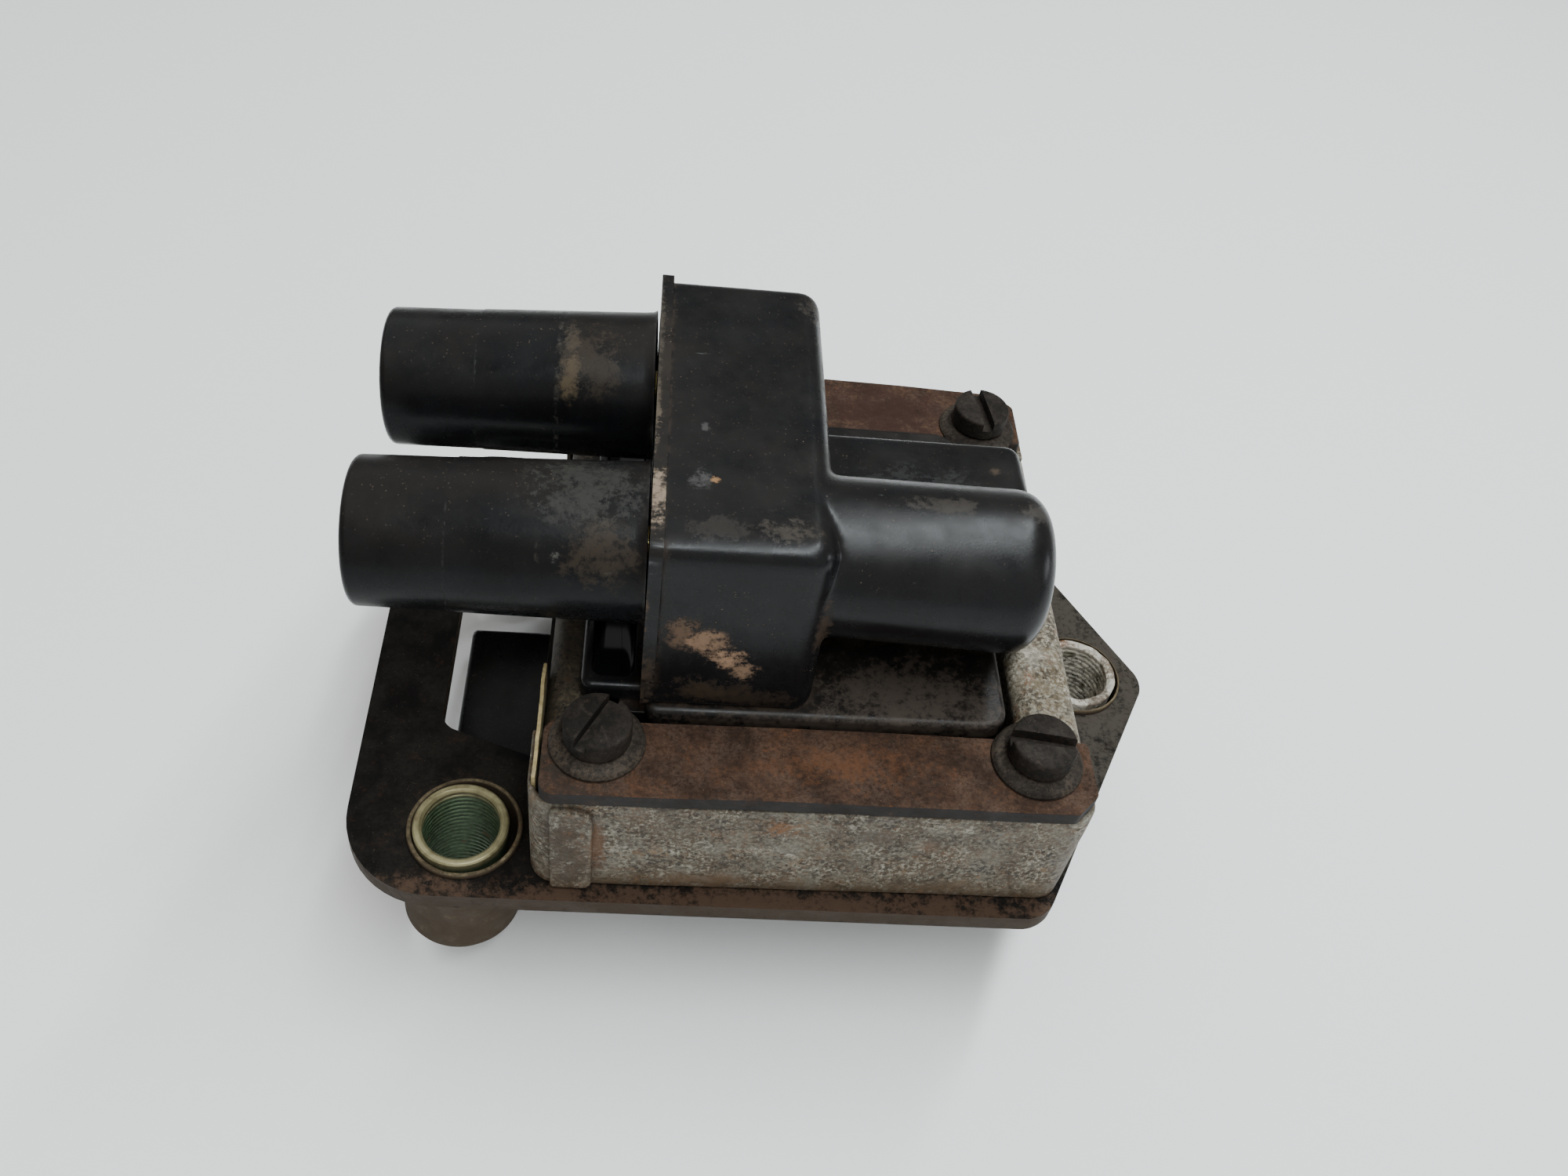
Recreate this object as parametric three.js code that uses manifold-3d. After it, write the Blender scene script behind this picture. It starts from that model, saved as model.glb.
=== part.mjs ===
// Twin-tower ignition coil on a three-point mounting plate, in millimetres, +Z up.
// X runs from the high-voltage towers (-X) to the ear of the plate (+X), and Z is normal to the plate.
// Inside this file z = 0 is the top of the plate and x = y = 0 is the centre of the iron core.
// The exported group is shifted so that its origin is the middle of the footprint at the lowest face.
import * as THREE from 'three';
import { mergeVertices } from 'three/addons/utils/BufferGeometryUtils.js';
import Module from 'manifold-3d';

const wasm = await Module();
wasm.setup();

// ---- driving dimensions -------------------------------------------------------------------------
const GAP = 0.3; // between pieces that touch
const PLATE = { t: 3, left: -61.9, halfLeft: 41.8, half: 42.7, corner: 13, frontRight: 34, backRight: 32.7 };
const EAR = { tip: 55.9, y0: -2, y1: 0.6, round: 4 };
const WINDOW = { left: -51.3, right: -37.2, halfLeft: 14.6, halfRight: 19.7 };
const BUSHES = { front: [-45.8, -31.7], back: [-45.8, 31.7], ear: [45, 0] };
const COLLAR = { outer: 8.4, flange: 7.8, waist: 7.65, bore: 7.15, top: 0.9, bottom: -18.3 };
const SLEEVE = { outer: 6.45, bore: 5.2, top: 1.4, bottom: -18.8 };
const SLEEVE_SHIFT = { front: -0.5, back: 0.2, ear: 0.1 }; // how far each loose sleeve sits off centre
const LEAN = { front: -1.2, back: 0, ear: 0 }; // how far each bush leans at its foot
const CORE = { halfX: 36.2, halfY: 39.6, bottom: 0.3, top: 19.8, leg: 8.8, yoke: 11.4 };
const STRAP = { t: 0.9, corner: 3.5, back: 28.6 };
const BAR = { z0: 20.1, z1: 22.3, left: -35.1, chamfer: 3 };
const BAR_SIDES = {
  front: { right: 35.8, near: 28.7, far: 39.9 },
  back: { right: 35.3, near: 29.2, far: 41.2 },
};
const SCREW = { x: 28.3, y: 32, hole: 2.8, shank: 2.45, head: 4.3, headH: 3.3, washer: 6.1, washerH: 1.4 };
const HOUSING = { left: -26, right: 24.9, halfY: 26.4, bottom: -27, roof: 21.3, top: 24, wall: 2 };
const RIM = { front: -28, back: 28.8, left: -22.6, shelfLeft: -31, shelfHalfY: 24.4 };
const POCKET = { x0: -29.6, x1: -24.2, halfY: 22.6, floor: 22 };
const BLOCK = {
  x0: -21.4, x1: -1.2, half: 27, z0: 24.2, z1: 51.5, frontTop: -25.4, backTop: 26.3, round: 3, wall: 2,
};
const BARREL = { right: 30.2, front: -15, back: 15.9, top: 35.5, round: 2.5 };
const HUMP = { y: -15, z: 40.7, r: 10.1, rEnd: 10.5, right: 26.3, round: 4, bore: 7.4, tilt: 1.5 };
const FLANGE = { x0: -23.3, x1: -21.7, half: 27.6, frontTop: -25.9, backTop: 26.8, z0: 24.4, z1: 52 };
const TOWER = { y: 14.8, z: 41, rRoot: 10.05, rTip: 9.3, bore: 7.3 };
const TOWER_SIDES = { front: { length: 36, tilt: 1.2 }, back: { length: 36.2, tilt: 2.2 } };
const LEG = { halfX: 7, z0: 3.2, z1: 17.2 };
const WINDING_Z = (LEG.z0 + LEG.z1) / 2;
const PRIMARY = { inner: 7.5, wall: 1.1, flange: 10.9, halfY: 23.5, copper: 10.6 };
const SECONDARY = { inner: 11.2, wall: 1, flange: 16.6, halfY: 12.4, copper: 15.8, sections: 4 };
const SOCKET = { left: -51, right: -26.3, halfY: 16, z0: -27, z1: -14, wall: 2, depth: 18, round: 3 };
const PIN = { pitch: 8, w: 2.8, h: 0.8, tip: -43, root: -28 };

// ---- looks --------------------------------------------------------------------------------------
function look(color, roughness, metalness = 0) {
  return new THREE.MeshStandardMaterial({ color, roughness, metalness });
}

const LOOKS = {
  black_plastic: () => look(0x17171a, 0.35),
  rusty_steel: () => look(0x3a2a20, 0.75, 0.4),
  zinc: () => look(0x9a9b94, 0.5, 0.8),
  yellow_zinc: () => look(0xb6ab78, 0.35, 0.9),
  screw_steel: () => look(0x3b3833, 0.6, 0.6),
  lamination: () => look(0x77777a, 0.55, 0.7),
  resin: () => look(0x08080a, 0.12),
  copper: () => look(0xa7572c, 0.35, 0.9),
  bobbin: () => look(0x6f6a5e, 0.5),
  brass: () => look(0xb59a4e, 0.3, 0.9),
  paper: () => look(0xd9cf9d, 0.85),
  rubber: () => look(0x1c1c1c, 0.8),
};

// ---- solids -------------------------------------------------------------------------------------
// A geometry as a manifold solid, with its seams closed and its faces pointing out.
function solid(geometry) {
  const bare = geometry.clone();
  bare.deleteAttribute('normal');
  bare.deleteAttribute('uv');
  const merged = mergeVertices(bare, 1e-4);
  const points = Float32Array.from(merged.attributes.position.array);
  const kept = [];
  let volume = 0;
  const a = new THREE.Vector3();
  const b = new THREE.Vector3();
  const c = new THREE.Vector3();
  for (let i = 0; i < merged.index.count; i += 3) {
    const [u, v, w] = [0, 1, 2].map((k) => merged.index.getX(i + k));
    if (u === v || v === w || w === u) continue;
    kept.push(u, v, w);
    a.fromArray(points, u * 3);
    b.fromArray(points, v * 3);
    c.fromArray(points, w * 3);
    volume += a.dot(b.cross(c));
  }
  if (volume < 0) {
    for (let i = 0; i < kept.length; i += 3) [kept[i], kept[i + 1]] = [kept[i + 1], kept[i]];
  }
  const triVerts = Uint32Array.from(kept);
  return new wasm.Manifold(new wasm.Mesh({ numProp: 3, vertProperties: points, triVerts }));
}

// A manifold solid back as a three.js geometry.
function geometryOf(manifold) {
  const mesh = manifold.getMesh();
  const geometry = new THREE.BufferGeometry();
  geometry.setAttribute('position', new THREE.BufferAttribute(Float32Array.from(mesh.vertProperties), 3));
  geometry.setIndex(new THREE.BufferAttribute(Uint32Array.from(mesh.triVerts), 1));
  geometry.computeVertexNormals();
  return geometry;
}

// A closed outline through [x, y, radius] corners, with an arc of the radius at each corner.
function outline(corners, steps = 5) {
  const points = [];
  corners.forEach(([x, y, r = 0], i) => {
    const at = new THREE.Vector2(x, y);
    if (r === 0) {
      points.push(at);
      return;
    }
    const [px, py] = corners[(i + corners.length - 1) % corners.length];
    const [nx, ny] = corners[(i + 1) % corners.length];
    const back = new THREE.Vector2(px, py).sub(at).normalize();
    const ahead = new THREE.Vector2(nx, ny).sub(at).normalize();
    const half = Math.acos(THREE.MathUtils.clamp(back.dot(ahead), -1, 1)) / 2;
    const bisector = back.clone().add(ahead).normalize();
    const centre = at.clone().addScaledVector(bisector, r / Math.sin(half));
    const from = at.clone().addScaledVector(back, r / Math.tan(half)).sub(centre);
    const to = at.clone().addScaledVector(ahead, r / Math.tan(half)).sub(centre);
    const start = from.angle();
    let sweep = to.angle() - start;
    if (sweep > Math.PI) sweep -= 2 * Math.PI;
    if (sweep < -Math.PI) sweep += 2 * Math.PI;
    for (let k = 0; k <= steps; k += 1) {
      const angle = start + (sweep * k) / steps;
      points.push(new THREE.Vector2(centre.x + r * Math.cos(angle), centre.y + r * Math.sin(angle)));
    }
  });
  return points;
}

const rectangle = (x0, x1, y0, y1, r = 0) => [[x0, y0, r], [x1, y0, r], [x1, y1, r], [x0, y1, r]];

// An outline pulled up from z0 to z1.
function prism(corners, z0, z1, steps) {
  const shape = new THREE.Shape(outline(corners, steps));
  const geometry = new THREE.ExtrudeGeometry(shape, { depth: z1 - z0, bevelEnabled: false });
  return solid(geometry.translate(0, 0, z0));
}

// An outline in the YZ plane pulled along X. Its corners are [y, z, radius].
function prismX(corners, x0, x1, steps) {
  const shape = new THREE.Shape(outline(corners, steps));
  const geometry = new THREE.ExtrudeGeometry(shape, { depth: x1 - x0, bevelEnabled: false });
  geometry.applyMatrix4(new THREE.Matrix4().set(0, 0, 1, x0, 1, 0, 0, 0, 0, 1, 0, 0, 0, 0, 0, 1));
  return solid(geometry);
}

// An outline in the XZ plane pulled along Y. Its corners are [x, z, radius].
function prismY(corners, y0, y1, steps) {
  const shape = new THREE.Shape(outline(corners, steps));
  const geometry = new THREE.ExtrudeGeometry(shape, { depth: y1 - y0, bevelEnabled: false });
  geometry.applyMatrix4(new THREE.Matrix4().set(1, 0, 0, 0, 0, 0, -1, y1, 0, 1, 0, 0, 0, 0, 0, 1));
  return solid(geometry);
}

// A turned solid on the Z axis. The profile's points are [radius, z], and a bored one is a closed loop.
function turned(profile, sides = 32) {
  const points = profile.map(([r, z]) => new THREE.Vector2(r, z));
  return solid(new THREE.LatheGeometry(points, sides).rotateX(Math.PI / 2));
}

const ring = (inner, outer, z0, z1, sides) =>
  turned([[inner, z0], [outer, z0], [outer, z1], [inner, z1], [inner, z0]], sides);
const disc = (r, z0, z1, sides) => turned([[0, z0], [r, z0], [r, z1], [0, z1]], sides);

// A solid turned on Z laid down along -X and drooping by the tilt: its z becomes the distance from x0.
function towardsTowers(manifold, x0, y, z, tilt = 0) {
  return manifold.rotate([0, -90 - tilt, 0]).translate([x0, y, z]);
}

// A round lead through a few points.
function lead(points, r) {
  const path = new THREE.CatmullRomCurve3(points.map((p) => new THREE.Vector3(...p)), false, 'centripetal');
  const section = new THREE.Shape().absarc(0, 0, r, 0, 2 * Math.PI);
  const options = { steps: 18, extrudePath: path, curveSegments: 5, bevelEnabled: false };
  return solid(new THREE.ExtrudeGeometry(section, options));
}

const both = [-1, 1];
const sideName = (s) => (s < 0 ? 'front' : 'back');

// ---- the assembly -------------------------------------------------------------------------------
const coil = new THREE.Group();

function add(name, manifold, material) {
  const mesh = new THREE.Mesh(geometryOf(manifold), LOOKS[material]());
  mesh.name = name;
  coil.add(mesh);
}

// ---- mounting plate and its bushes --------------------------------------------------------------
function mountingPlate() {
  const { t, left, halfLeft, half, corner, frontRight, backRight } = PLATE;
  let plate = prism([
    [left, -halfLeft, corner], [frontRight, -half, 5], [EAR.tip, EAR.y0, EAR.round],
    [EAR.tip, EAR.y1, EAR.round], [backRight, half, 5], [left, halfLeft, corner],
  ], -t, 0, 8);
  const w = WINDOW;
  const window = prism([
    [w.left, -w.halfLeft, 3], [w.right, -w.halfRight, 1], [w.right, w.halfRight, 1], [w.left, w.halfLeft, 3],
  ], -t - 1, 1);
  const throat = prism(rectangle(-26.6, 26.6, -27.2, 27.2, 2), -t - 1, 1);
  plate = plate.subtract(window).subtract(throat);
  for (const [x, y] of Object.values(BUSHES)) {
    plate = plate.subtract(disc(COLLAR.waist + GAP, -t - 1, 1).translate([x, y, 0]));
  }
  for (const sx of both) {
    for (const sy of both) {
      plate = plate.subtract(disc(SCREW.hole, -t - 1, 1, 20).translate([sx * SCREW.x, sy * SCREW.y, 0]));
    }
  }
  return plate;
}

// A swaged steel collar: a spool that grips the plate, with a plain bore.
function bushCollar() {
  const { outer, flange, waist, bore, top, bottom } = COLLAR;
  const under = -PLATE.t - GAP;
  return turned([
    [bore, bottom], [outer - 0.4, bottom], [outer, bottom + 0.4], [outer, under], [waist, under],
    [waist, GAP], [flange, GAP], [flange, top - 0.3], [flange - 0.3, top], [bore, top], [bore, under], [bore, bottom],
  ], 36);
}

function bushSleeve() {
  const { outer, bore, top, bottom } = SLEEVE;
  return turned([
    [bore, bottom], [outer, bottom], [outer, -PLATE.t], [outer, top - 0.3], [outer - 0.3, top],
    [bore + 0.3, top], [bore, top - 0.3], [bore, -PLATE.t], [bore, bottom],
  ], 36);
}

// A bush's lower part leaning sideways, by the whole lean at its foot.
function leaning(manifold, lean) {
  const reach = -PLATE.t - COLLAR.bottom;
  return manifold.warp((point) => {
    point[0] += (lean * Math.max(0, -PLATE.t - point[2])) / reach;
  });
}

function bushes() {
  for (const [place, [x, y]] of Object.entries(BUSHES)) {
    const lean = LEAN[place];
    const shift = SLEEVE_SHIFT[place];
    add(`bush_collar_${place}`, leaning(bushCollar(), lean).translate([x, y, 0]), 'rusty_steel');
    add(`bush_sleeve_${place}`, leaning(bushSleeve(), lean).translate([x + shift, y, 0]), 'yellow_zinc');
  }
}

// ---- iron core and what clamps it ---------------------------------------------------------------
function screwHoles(manifold, sy) {
  let cut = manifold;
  for (const sx of both) {
    cut = cut.subtract(disc(SCREW.hole, -5, 30, 20).translate([sx * SCREW.x, sy * SCREW.y, 0]));
  }
  return cut;
}

function yoke(sy) {
  const inner = CORE.halfY - CORE.yoke;
  const outer = CORE.halfY - STRAP.t - GAP;
  const halfX = CORE.halfX - STRAP.t - GAP;
  const block = prism([
    [-halfX, -outer, STRAP.corner - STRAP.t], [halfX, -outer, STRAP.corner - STRAP.t], [halfX, -inner],
    [-halfX, -inner],
  ], CORE.bottom, CORE.top);
  return screwHoles(sy < 0 ? block : block.mirror([0, 1, 0]), sy);
}

// A side leg of the core, its upper edges rounded over along their length.
function sideLeg(sx) {
  const outer = CORE.halfX;
  const inner = outer - CORE.leg;
  const xs = [sx * inner, sx * outer].sort((p, q) => p - q);
  const reach = CORE.halfY - CORE.yoke - GAP;
  const top = CORE.top + 1;
  return prismY([
    [xs[0], CORE.bottom], [xs[1], CORE.bottom], [xs[1], top, 2.4], [xs[0], top, 2.4],
  ], -reach, reach);
}

// The sheet strap around each yoke: a wall with two short returns.
function strap(sy) {
  const { t, corner, back } = STRAP;
  const outer = prism([
    [-CORE.halfX, -back], [-CORE.halfX, -CORE.halfY, corner], [CORE.halfX, -CORE.halfY, corner],
    [CORE.halfX, -back],
  ], CORE.bottom, CORE.top);
  const inside = CORE.halfX - t;
  const hollow = prism([
    [-inside, -back + 1], [-inside, -CORE.halfY + t, corner - t], [inside, -CORE.halfY + t, corner - t],
    [inside, -back + 1],
  ], CORE.bottom - 1, CORE.top + 1);
  let band = outer.subtract(hollow);
  if (sy < 0) {
    const tab = prismY(rectangle(-34.4, -28.2, 1.1, 18.8, 1.2), -CORE.halfY - 0.8, -CORE.halfY + 0.4);
    band = band.add(tab);
  }
  return sy < 0 ? band : band.mirror([0, 1, 0]);
}

// A flat clamping bar with one chamfered corner, its upper edges eased.
function clampBar(sy) {
  const { z0, z1, left, chamfer: c } = BAR;
  const { right, near, far } = BAR_SIDES[sideName(sy)];
  const body = prism([
    [left, -far, 2], [right - c, -far, 1], [right, -far + c, 1], [right, -near, 0.8], [left, -near, 2],
  ], z0, z1 - 0.4, 3);
  const cap = prism([
    [left + 0.4, -far + 0.4, 1.8], [right - c - 0.2, -far + 0.4, 1], [right - 0.4, -far + c + 0.2, 1],
    [right - 0.4, -near - 0.4, 0.6], [left + 0.4, -near - 0.4, 1.8],
  ], z1 - 0.5, z1, 3);
  const bar = screwHoles(body.add(cap), -1);
  return sy < 0 ? bar : bar.mirror([0, 1, 0]);
}

// A domed washer.
function washer() {
  const { washer: r, washerH: h, hole } = SCREW;
  return turned([
    [hole, 0], [r, 0], [r, 0.5], [r - 0.8, 1.0], [r - 2, h], [hole, h], [hole, 0],
  ], 28);
}

// A slotted cheese-head screw, its slot turned by the angle in degrees.
function screw(angle) {
  const { head, headH, shank } = SCREW;
  const under = SCREW.washerH + GAP;
  const shankEnd = -BAR.z1 - PLATE.t + 0.2;
  const body = turned([
    [0, shankEnd], [shank - 0.5, shankEnd], [shank, shankEnd + 0.6], [shank, under], [head, under],
    [head, under + headH - 0.5], [head - 0.5, under + headH], [0, under + headH],
  ], 28);
  const slot = new THREE.BoxGeometry(2 * head + 2, 1.3, 3).translate(0, 0, under + headH + 0.1);
  return body.subtract(solid(slot)).rotate([0, 0, angle]);
}

const SLOT_ANGLES = { left_front: 62, right_front: -8, left_back: 25, right_back: 98 };

function clamping() {
  for (const sy of both) {
    const end = sideName(sy);
    add(`core_yoke_${end}`, yoke(sy), 'lamination');
    add(`core_strap_${end}`, strap(sy), 'zinc');
    add(`clamp_bar_${end}`, clampBar(sy), 'rusty_steel');
    for (const sx of both) {
      const place = `${sx < 0 ? 'left' : 'right'}_${end}`;
      const at = [sx * SCREW.x, sy * SCREW.y, BAR.z1];
      add(`washer_${place}`, washer().translate([at[0], at[1], at[2] + 0.05]), 'screw_steel');
      add(`screw_${place}`, screw(SLOT_ANGLES[place]).translate(at), 'screw_steel');
    }
  }
  add('core_leg_left', sideLeg(-1), 'zinc');
  add('core_leg_right', sideLeg(1), 'zinc');
  const reach = CORE.halfY - CORE.yoke - GAP;
  const centreLeg = prism(rectangle(-LEG.halfX, LEG.halfX, -reach, reach), LEG.z0, LEG.z1);
  add('core_centre_leg', centreLeg, 'lamination');
}

// The strip of insulating paper that stands on edge beside the left end of the core.
function paperStrip() {
  const x1 = -CORE.halfX - 0.1;
  return prism(rectangle(x1 - 0.45, x1, -37, -17), 9, CORE.top + 1.8);
}

// ---- plastic housing ----------------------------------------------------------------------------
// The lower case: a box open at the bottom, with a rim, a shelf over the left leg and windows for the core.
function caseBody() {
  const h = HOUSING;
  const box = prism(rectangle(h.left, h.right, -h.halfY, h.halfY, 2), h.bottom, h.roof + 0.1);
  const rim = prism([
    [RIM.shelfLeft, -RIM.shelfHalfY, 1.5], [RIM.left, -RIM.shelfHalfY], [RIM.left, RIM.front, 1.5],
    [h.right, RIM.front, 3], [h.right, RIM.back, 4.5], [RIM.left, RIM.back, 1.5], [RIM.left, RIM.shelfHalfY],
    [RIM.shelfLeft, RIM.shelfHalfY, 1.5],
  ], h.roof, h.top);
  const inside = rectangle(h.left + h.wall, h.right - h.wall, h.wall - h.halfY, h.halfY - h.wall, 1);
  const cavity = prism(inside, h.bottom - 1, h.roof);
  const throat = prism(rectangle(-19.5, 22, -13, 13, 2), h.roof - 1, h.top + 1);
  const tunnel = prismY(rectangle(-7.6, 7.6, LEG.z0 - 0.6, LEG.z1 + 0.6), -40, 40);
  const { x0, x1, halfY, floor } = POCKET;
  const pocket = prism(rectangle(x0, x1, -halfY, halfY, 1.5), floor, h.top + 1);
  return box.add(rim).subtract(cavity).subtract(throat).subtract(tunnel).subtract(pocket);
}

// The block's cross-section, drafted inwards towards the top.
function blockSection(inset) {
  const { half, z0, z1, frontTop, backTop, round } = BLOCK;
  const r = Math.max(round - inset, 0.8);
  return [
    [-half + inset, z0], [half - inset, z0], [backTop - inset, z1 - inset, r],
    [frontTop + inset, z1 - inset, r],
  ];
}

// The block with its right-hand vertical and top edges rounded by short steps.
function blockSolid() {
  const { x0, x1, round } = BLOCK;
  const steps = 5;
  let block = prismX(blockSection(0), x0, x1 - round);
  for (let i = 0; i < steps; i += 1) {
    const a0 = (Math.PI / 2) * (i / steps);
    const a1 = (Math.PI / 2) * ((i + 1) / steps);
    const near = x1 - round + round * Math.sin(a0);
    const far = x1 - round + round * Math.sin(a1);
    const slice = new THREE.Shape(outline(blockSection(round * (1 - Math.cos((a0 + a1) / 2)))));
    const geometry = new THREE.ExtrudeGeometry(slice, { depth: far - near + 0.01, bevelEnabled: false });
    geometry.applyMatrix4(new THREE.Matrix4().set(0, 0, 1, near - 0.01, 1, 0, 0, 0, 0, 1, 0, 0, 0, 0, 0, 1));
    block = block.add(solid(geometry));
  }
  return block;
}

// The closed hump: a round barrel end in line with the front tower.
function humpSolid() {
  const { y, z, r, rEnd, right, round, tilt } = HUMP;
  const length = right - BLOCK.x1 + 3;
  const profile = [[0, 0], [r, 0]];
  const steps = 4;
  for (let i = 0; i <= steps; i += 1) {
    const a = (Math.PI / 2) * (i / steps);
    profile.push([rEnd - round + round * Math.cos(a), length - round + round * Math.sin(a)]);
  }
  profile.push([0, length]);
  return turned(profile, 40).rotate([0, 90 + tilt, 0]).translate([BLOCK.x1 - 3, y, z]);
}

function topCover() {
  const { front, back, top, right, round } = BARREL;
  const { wall } = BLOCK;
  const z0 = BLOCK.z0;
  const { x0, x1 } = BLOCK;
  const barrel = prismX([[front, z0], [back, z0], [back, top, round], [front, top, round]], x1 - 3, right);
  const shell = blockSolid().add(barrel).add(humpSolid());
  const blockHollow = prismX(blockSection(wall), x0 - 1, x1 - wall).trimByPlane([0, 0, 1], z0 + wall);
  const throat = prism(rectangle(-19.5, 22, -13, 13, 2), z0 - 1, z0 + 3);
  const barrelHollow = prismX(rectangle(front + 2, back - 2, z0 + 1, top - 2, 1), x1 - 4, right - 4);
  const { y, z, bore } = HUMP;
  const humpHollow = disc(bore, 0, 24, 28).rotate([0, 90, 0]).translate([x1 - 3, y, z]);
  const passage = prism(rectangle(12, 21, -12.8, -8.6), z0 + 4, z);
  const hollows = [blockHollow, throat, barrelHollow, humpHollow, passage];
  return hollows.reduce((cover, hollow) => cover.subtract(hollow), shell);
}

// The thin flange that closes the block, with a hole for each terminal.
function towerFlange() {
  const { x0, x1, half, frontTop, backTop, z0, z1 } = FLANGE;
  let flange = prismX([[-half, z0, 1], [half, z0, 1], [backTop, z1, 2], [frontTop, z1, 2]], x0, x1);
  for (const sy of both) {
    const hole = disc(3.2, 0, 4, 20).rotate([0, 90, 0]).translate([x0 - 1, sy * TOWER.y, TOWER.z]);
    flange = flange.subtract(hole);
  }
  return flange;
}

// A high-voltage tower: a slightly tapered tube, blind at its root but for the terminal's hole.
function tower(sy) {
  const { rRoot, rTip, bore, y, z } = TOWER;
  const { length, tilt } = TOWER_SIDES[sideName(sy)];
  const body = turned([
    [3.2, 0], [rRoot, 0], [rTip, length - 1], [rTip - 1, length], [bore + 0.6, length], [bore, length - 0.6],
    [bore - 0.3, 5], [3.2, 5], [3.2, 0],
  ], 40);
  const laid = towardsTowers(body, FLANGE.x0 + 0.4, sy * y, z, tilt);
  return laid.trimByPlane([-1, 0, 0], -(FLANGE.x0 - 0.1));
}

// ---- what the housing holds ---------------------------------------------------------------------
// A rectangular ring around the core's centre leg, from y0 to y1, with half sizes inner and outer.
function squareRing(inner, outer, y0, y1, round) {
  const centre = WINDING_Z;
  const square = (h, r) => rectangle(-h, h, centre - h, centre + h, r);
  return prismY(square(outer, round), y0, y1).subtract(prismY(square(inner, round / 2), y0 - 1, y1 + 1));
}

function windings() {
  const p = PRIMARY;
  let bobbin = squareRing(p.inner, p.inner + p.wall, -p.halfY, p.halfY, 1);
  for (const s of both) {
    const ys = [s * p.halfY, s * (p.halfY - 1.4)].sort((a, b) => a - b);
    bobbin = bobbin.add(squareRing(p.inner, p.flange, ...ys, 1));
  }
  add('primary_bobbin', bobbin, 'bobbin');
  const copperHalf = p.halfY - 1.7;
  const coilOfWire = squareRing(p.inner + p.wall + 0.2, p.copper, -copperHalf, copperHalf, 2.5);
  add('primary_winding', coilOfWire, 'copper');

  const s = SECONDARY;
  const pitch = (2 * s.halfY - 1) / s.sections;
  let former = squareRing(s.inner, s.inner + s.wall, -s.halfY, s.halfY, 1.5);
  for (let i = 0; i <= s.sections; i += 1) {
    const y = -s.halfY + i * pitch;
    former = former.add(squareRing(s.inner, s.flange, y, y + 1, 2.5));
  }
  add('secondary_bobbin', former, 'bobbin');
  for (let i = 0; i < s.sections; i += 1) {
    const y = -s.halfY + i * pitch + 1;
    const section = squareRing(s.inner + s.wall + 0.2, s.copper, y + 0.2, y + pitch - 1.2, 3);
    add(`secondary_section_${i + 1}`, section, 'copper');
  }
}

// A brass terminal on a tower's axis: a stem through the flange and a stub in the tower's bore.
function towerTerminal(sy) {
  const stem = turned([
    [0, -2.5], [1.6, -2.5], [2.2, -1.5], [2.2, 7], [3.4, 7.3], [3.4, 9.5], [2.3, 10.2], [2.3, 13],
    [1.6, 14], [0, 14],
  ], 20);
  return towardsTowers(stem, FLANGE.x0 + 0.4, sy * TOWER.y, TOWER.z, TOWER_SIDES[sideName(sy)].tilt);
}

function highVoltage() {
  const stemEnd = FLANGE.x0 + 0.4 + 2.5 + GAP;
  const top = WINDING_Z + SECONDARY.flange + GAP + 0.9;
  const { y, z } = TOWER;
  add('high_voltage_lead_front', lead([
    [18, -9, top], [18, -10.6, top + 4], [17.5, -11, 34.5], [15, -12.8, 39], [9, -15, HUMP.z],
    [0, -15, HUMP.z], [-10, -14.9, z], [stemEnd, -y, z],
  ], 0.8), 'copper');
  add('high_voltage_lead_back', lead([
    [-12, 8, top], [-13, 10, top + 4], [-14.5, 13, 36], [-16.5, y, z - 0.6], [stemEnd, y, z],
  ], 0.8), 'copper');
  for (const sy of both) add(`tower_terminal_${sideName(sy)}`, towerTerminal(sy), 'brass');
}

// The low-voltage socket under the plate: a shell open towards -X, with a shoulder for its seal.
function socketShell() {
  const { left, right, halfY, z0, z1, wall, depth, round } = SOCKET;
  const shell = prismX(rectangle(-halfY, halfY, z0, z1, round), left, right);
  const mouth = rectangle(wall - halfY, halfY - wall, z0 + wall, z1 - wall, round - wall);
  let socket = shell.subtract(prismX(mouth, left - 1, left + depth));
  for (const i of [-1, 0, 1]) {
    const w = PIN.w / 2 + GAP;
    const h = PIN.h / 2 + GAP;
    const mid = (z0 + z1) / 2;
    const slit = prismX(rectangle(i * PIN.pitch - w, i * PIN.pitch + w, mid - h, mid + h), left, right + 1);
    socket = socket.subtract(slit);
  }
  return socket;
}

function lowVoltage() {
  const { left, halfY, z0, z1, wall, depth, round } = SOCKET;
  const mid = (z0 + z1) / 2;
  add('socket_shell', socketShell(), 'black_plastic');
  for (const i of [-1, 0, 1]) {
    const y = i * PIN.pitch;
    const section = rectangle(y - PIN.w / 2, y + PIN.w / 2, mid - PIN.h / 2, mid + PIN.h / 2);
    add(`socket_pin_${i + 2}`, prismX(section, PIN.tip, PIN.root), 'brass');
  }
  const edge = wall + 0.2;
  const outer = rectangle(edge - halfY, halfY - edge, z0 + edge, z1 - edge, round - wall);
  const inner = rectangle(edge + 1.4 - halfY, halfY - edge - 1.4, z0 + edge + 1.4, z1 - edge - 1.4, 1);
  const x1 = left + depth - GAP;
  add('socket_seal', prismX(outer, x1 - 2, x1).subtract(prismX(inner, x1 - 3, x1 + 1)), 'rubber');
}

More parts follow.
